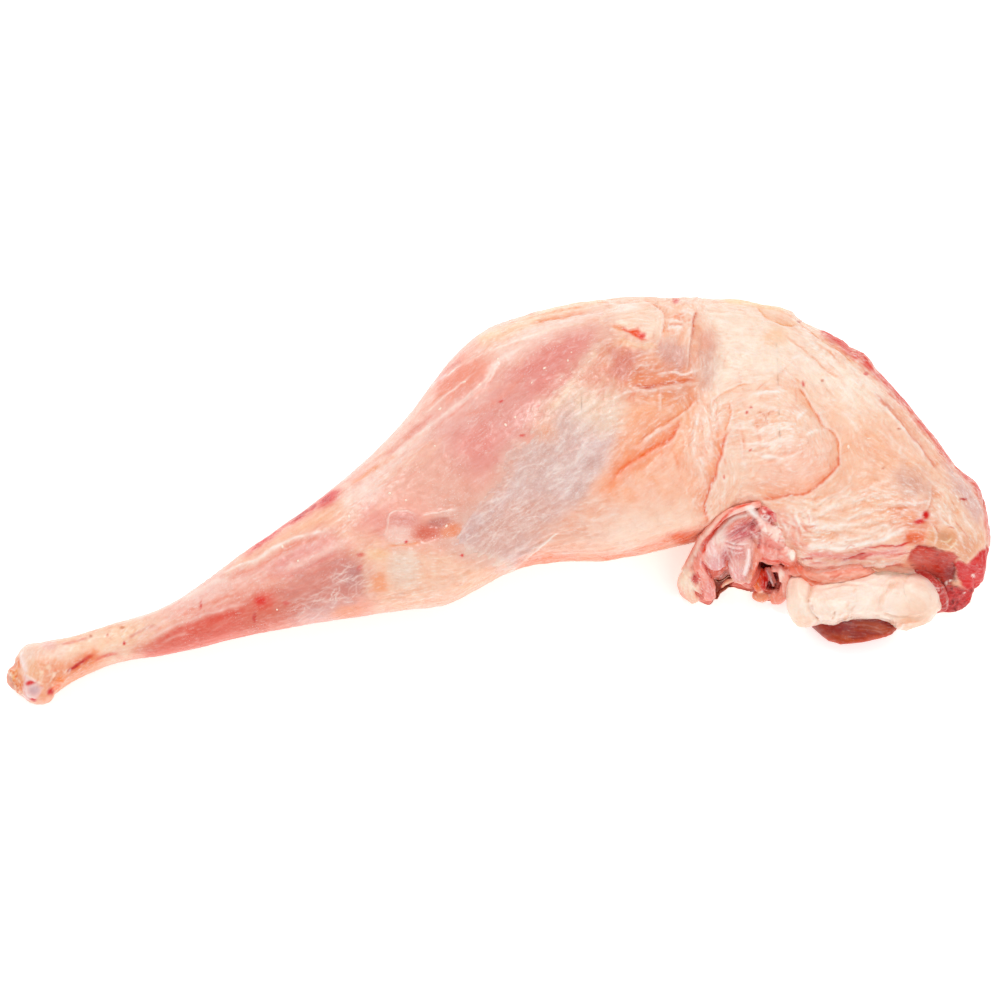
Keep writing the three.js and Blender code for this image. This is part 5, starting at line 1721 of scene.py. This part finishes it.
# Painted shadow under the fat's overhanging edge: a dark line and a darker band below it
brown.stroke(
    [(160, -62), (176, -60.5), (190, -61), (198, -63.5)], 3.0, taper=0.05, colour=(132, 42, 40),
    strength=0.9,
)
brown.spot((174, -64.5), (12, 3), -4, colour=(154, 66, 48), strength=0.9, rise=-0.3)
brown.spot((187, -63.6), (9, 2.4), -10, colour=(180, 92, 66), strength=0.7)
brown.spot((158.5, -65), (3.5, 2.6), -30, colour=(172, 108, 102), strength=0.8)
brown.stroke(
    [(160, -69), (170, -72), (183, -70.5), (196, -67)], 3.4, taper=0.05, colour=(204, 86, 34), strength=0.8,
)
# Pale lines of painted highlight across its top
for path in ([(172, -62), (182, -62.6), (192, -65)], [(176, -64), (185, -65), (193, -66.5)]):
    brown.stroke(path, 0.8, colour=(200, 140, 130), strength=0.7, rise=0.2)
brown.fibres((178, -67), (18, 4), -4, 40, 8, 1.2, [(198, 98, 66), (146, 58, 44)], 44, 8, 0.1, 0.5)
brown.finish()
organ.data.materials.append(tissue_material("kidney_skin", 0.08, 0.25, 0.1))
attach(organ, "root")
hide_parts("kidney")

# Flecks
# Small crumbs of white fat that stick to the moist surface, most of them on the thigh. One squashed crumb is
# set on each place, in its own size and turn, and the crumbs are joined in one mesh.

FLECK_PLACES = [
    (-10.3, 57.7), (-18, 59), (35.7, 73.8), (34, 69.7), (22.3, 65.9), (15.9, 58.7), (-1, 70.5), (2.8, 37.6),
    (7.6, 41.4), (-30, 45.6), (-32.6, 27), (-26.8, -13), (-55.2, 3.4), (-47, -0.1), (-75.5, -8.2),
    (-101, -30.4), (-111.5, -54.8), (-108.8, -23.3), (184.4, 30.8), (174.2, 26.6),
]
FLECK_SIZE = 0.75
FLECK_SEED = 5


def on_surface(places):
    """The points of the shown surface at places on the drawing plane, and the way it faces there."""
    scene = bpy.context.scene
    depsgraph = bpy.context.evaluated_depsgraph_get()
    start = Vector(eye * MM)
    found = []
    for across, up in places:
        way = Vector((LOOK_AT + (across, 0, 0) + upward * up) * MM) - start
        hit, point, facing, *_ = scene.ray_cast(depsgraph, start, way.normalized())
        if hit:
            found.append((point, facing))
    return found


def crumb_tree():
    """Sets a crumb on every point, squashed flat on the surface, in uneven sizes and turns."""
    tree = bpy.data.node_groups.new("crumbs", "GeometryNodeTree")
    tree.interface.new_socket("Geometry", in_out="INPUT", socket_type="NodeSocketGeometry")
    for name, kind in (("Size", "Float"), ("Seed", "Int"), ("Material", "Material")):
        tree.interface.new_socket(name, in_out="INPUT", socket_type="NodeSocket" + kind)
    tree.interface.new_socket("Geometry", in_out="OUTPUT", socket_type="NodeSocketGeometry")
    given = tree.nodes.new("NodeGroupInput").outputs
    facing = add(tree, "GeometryNodeInputNamedAttribute", {"Name": "facing"}, data_type="FLOAT_VECTOR")
    outward = facing.outputs["Attribute"]
    upright = add(tree, "FunctionNodeAlignRotationToVector", {"Vector": outward}, axis="Z")
    spin = add(tree, "FunctionNodeRandomValue", {"Max": 6.28, "Seed": given["Seed"]}, data_type="FLOAT")
    spun = add(tree, "FunctionNodeAxisAngleToRotation", {"Angle": spin.outputs["Value"]})
    turns = {0: upright.outputs[0], 1: spun.outputs[0]}
    turned = add(tree, "FunctionNodeRotateRotation", turns, rotation_space="LOCAL")
    limits = {"Min": (0.5, 0.4, 0.3), "Max": (1.5, 0.9, 0.6), "Seed": given["Seed"]}
    spread = add(tree, "FunctionNodeRandomValue", limits, data_type="FLOAT_VECTOR")
    sizes = {0: spread.outputs["Value"], "Scale": given["Size"]}
    sized = add(tree, "ShaderNodeVectorMath", sizes, operation="SCALE")
    crumb = add(tree, "GeometryNodeMeshIcoSphere", {"Radius": 1.0, "Subdivisions": 2})
    placed = add(tree, "GeometryNodeInstanceOnPoints", {
        "Points": given["Geometry"],
        "Instance": crumb.outputs["Mesh"],
        "Rotation": turned.outputs[0],
        "Scale": sized.outputs[0],
    })
    real = add(tree, "GeometryNodeRealizeInstances", {"Geometry": placed.outputs["Instances"]})
    coats = {"Geometry": real.outputs["Geometry"], "Material": given["Material"]}
    coated = add(tree, "GeometryNodeSetMaterial", coats)
    result = tree.nodes.new("NodeGroupOutput")
    tree.links.new(coated.outputs["Geometry"], result.inputs["Geometry"])
    return tree


crumb_paint = bpy.data.materials.new("fat_crumb")
crumb_paint.use_nodes = True
crumb_nodes = crumb_paint.node_tree
crumb_shader = crumb_nodes.nodes["Principled BSDF"]
crumb_place = add(crumb_nodes, "ShaderNodeTexCoord").outputs["Object"]
crumb_clouds = add(crumb_nodes, "ShaderNodeTexNoise", {"Vector": crumb_place, "Scale": 900.0}).outputs[0]
crumb_tints = {"Factor": crumb_clouds, "A": (*tone(255, 240, 226), 1), "B": (*tone(253, 224, 200), 1)}
crumb_tint = add(crumb_nodes, "ShaderNodeMix", crumb_tints, data_type="RGBA")
crumb_nodes.links.new(crumb_tint.outputs["Result"], crumb_shader.inputs["Base Color"])
crumb_shader.inputs["Roughness"].default_value = 0.3

fleck_points = on_surface(FLECK_PLACES)
fleck_mesh = bpy.data.meshes.new("flecks")
fleck_mesh.from_pydata([point for point, _ in fleck_points], [], [])
layer = fleck_mesh.attributes.new("facing", "FLOAT_VECTOR", "POINT")
layer.data.foreach_set("vector", np.array([facing for _, facing in fleck_points], np.float32).ravel())
flecks = new_object("flecks", fleck_mesh)
setter = flecks.modifiers.new("crumbs", "NODES")
setter.node_group = crumb_tree()
items = setter.node_group.interface.items_tree
sockets = {item.name: item.identifier for item in items if item.in_out == "INPUT"}
setter[sockets["Size"]] = FLECK_SIZE * MM
setter[sockets["Seed"]] = FLECK_SEED
setter[sockets["Material"]] = crumb_paint
depsgraph = bpy.context.evaluated_depsgraph_get()
flecks.data = bpy.data.meshes.new_from_object(flecks.evaluated_get(depsgraph))
flecks.modifiers.clear()
flecks.data.shade_smooth()
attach(flecks, "root")

# Floor, light and camera
# A pale floor under soft light from above and behind, and the camera that looks down on the shown side.

FLOOR_HALF = 6.0
FLOOR_GLOW = 0.4
floor_mesh = bpy.data.meshes.new("floor")
floor_corners = [(-1, -1), (1, -1), (1, 1), (-1, 1)]
floor_mesh.from_pydata([(x * FLOOR_HALF, y * FLOOR_HALF, 0) for x, y in floor_corners], [], [(0, 1, 2, 3)])
floor = new_object("floor", floor_mesh)
floor_paint = bpy.data.materials.new("floor_paint")
floor_paint.use_nodes = True
floor_shader = floor_paint.node_tree.nodes["Principled BSDF"]
for name, value in {
    "Base Color": (1, 1, 1, 1),
    "Roughness": 0.9,
    "Specular IOR Level": 0.0,
    "Emission Color": (1, 1, 1, 1),
    "Emission Strength": FLOOR_GLOW,
}.items():
    floor_shader.inputs[name].default_value = value
floor_mesh.materials.append(floor_paint)

SKY_LIGHT = 0.64
sky = bpy.data.worlds.new("studio")
sky.use_nodes = True
sky.node_tree.nodes["Background"].inputs["Color"].default_value = (1, 1, 1, 1)
sky.node_tree.nodes["Background"].inputs["Strength"].default_value = SKY_LIGHT
bpy.context.scene.world = sky

LAMPS = {
    "key": {"at": (-0.4, 0.7, 1.7), "size": 0.4, "watts": 12.0},
    "fill": {"at": (0.9, -1.1, 1.2), "size": 1.6, "watts": 7.0},
}
for name, lamp in LAMPS.items():
    light = bpy.data.lights.new(name, "AREA")
    light.shape = "DISK"
    light.size = lamp["size"]
    light.energy = lamp["watts"]
    holder = new_object(name, light)
    holder.location = lamp["at"]
    holder.rotation_euler = (-Vector(lamp["at"])).to_track_quat("-Z", "Y").to_euler()

SENSOR_WIDTH = 36.0
SHOWN_WIDTH = 500.0
lens = bpy.data.cameras.new("camera")
lens.sensor_width = SENSOR_WIDTH
lens.lens = SENSOR_WIDTH * LOOK_FROM / SHOWN_WIDTH
lens.clip_end = 100
camera = new_object("camera", lens)
camera.location = eye * MM
camera.rotation_euler = Vector(ahead).to_track_quat("-Z", "Y").to_euler()
bpy.context.scene.camera = camera
bpy.context.scene.view_settings.view_transform = "Standard"
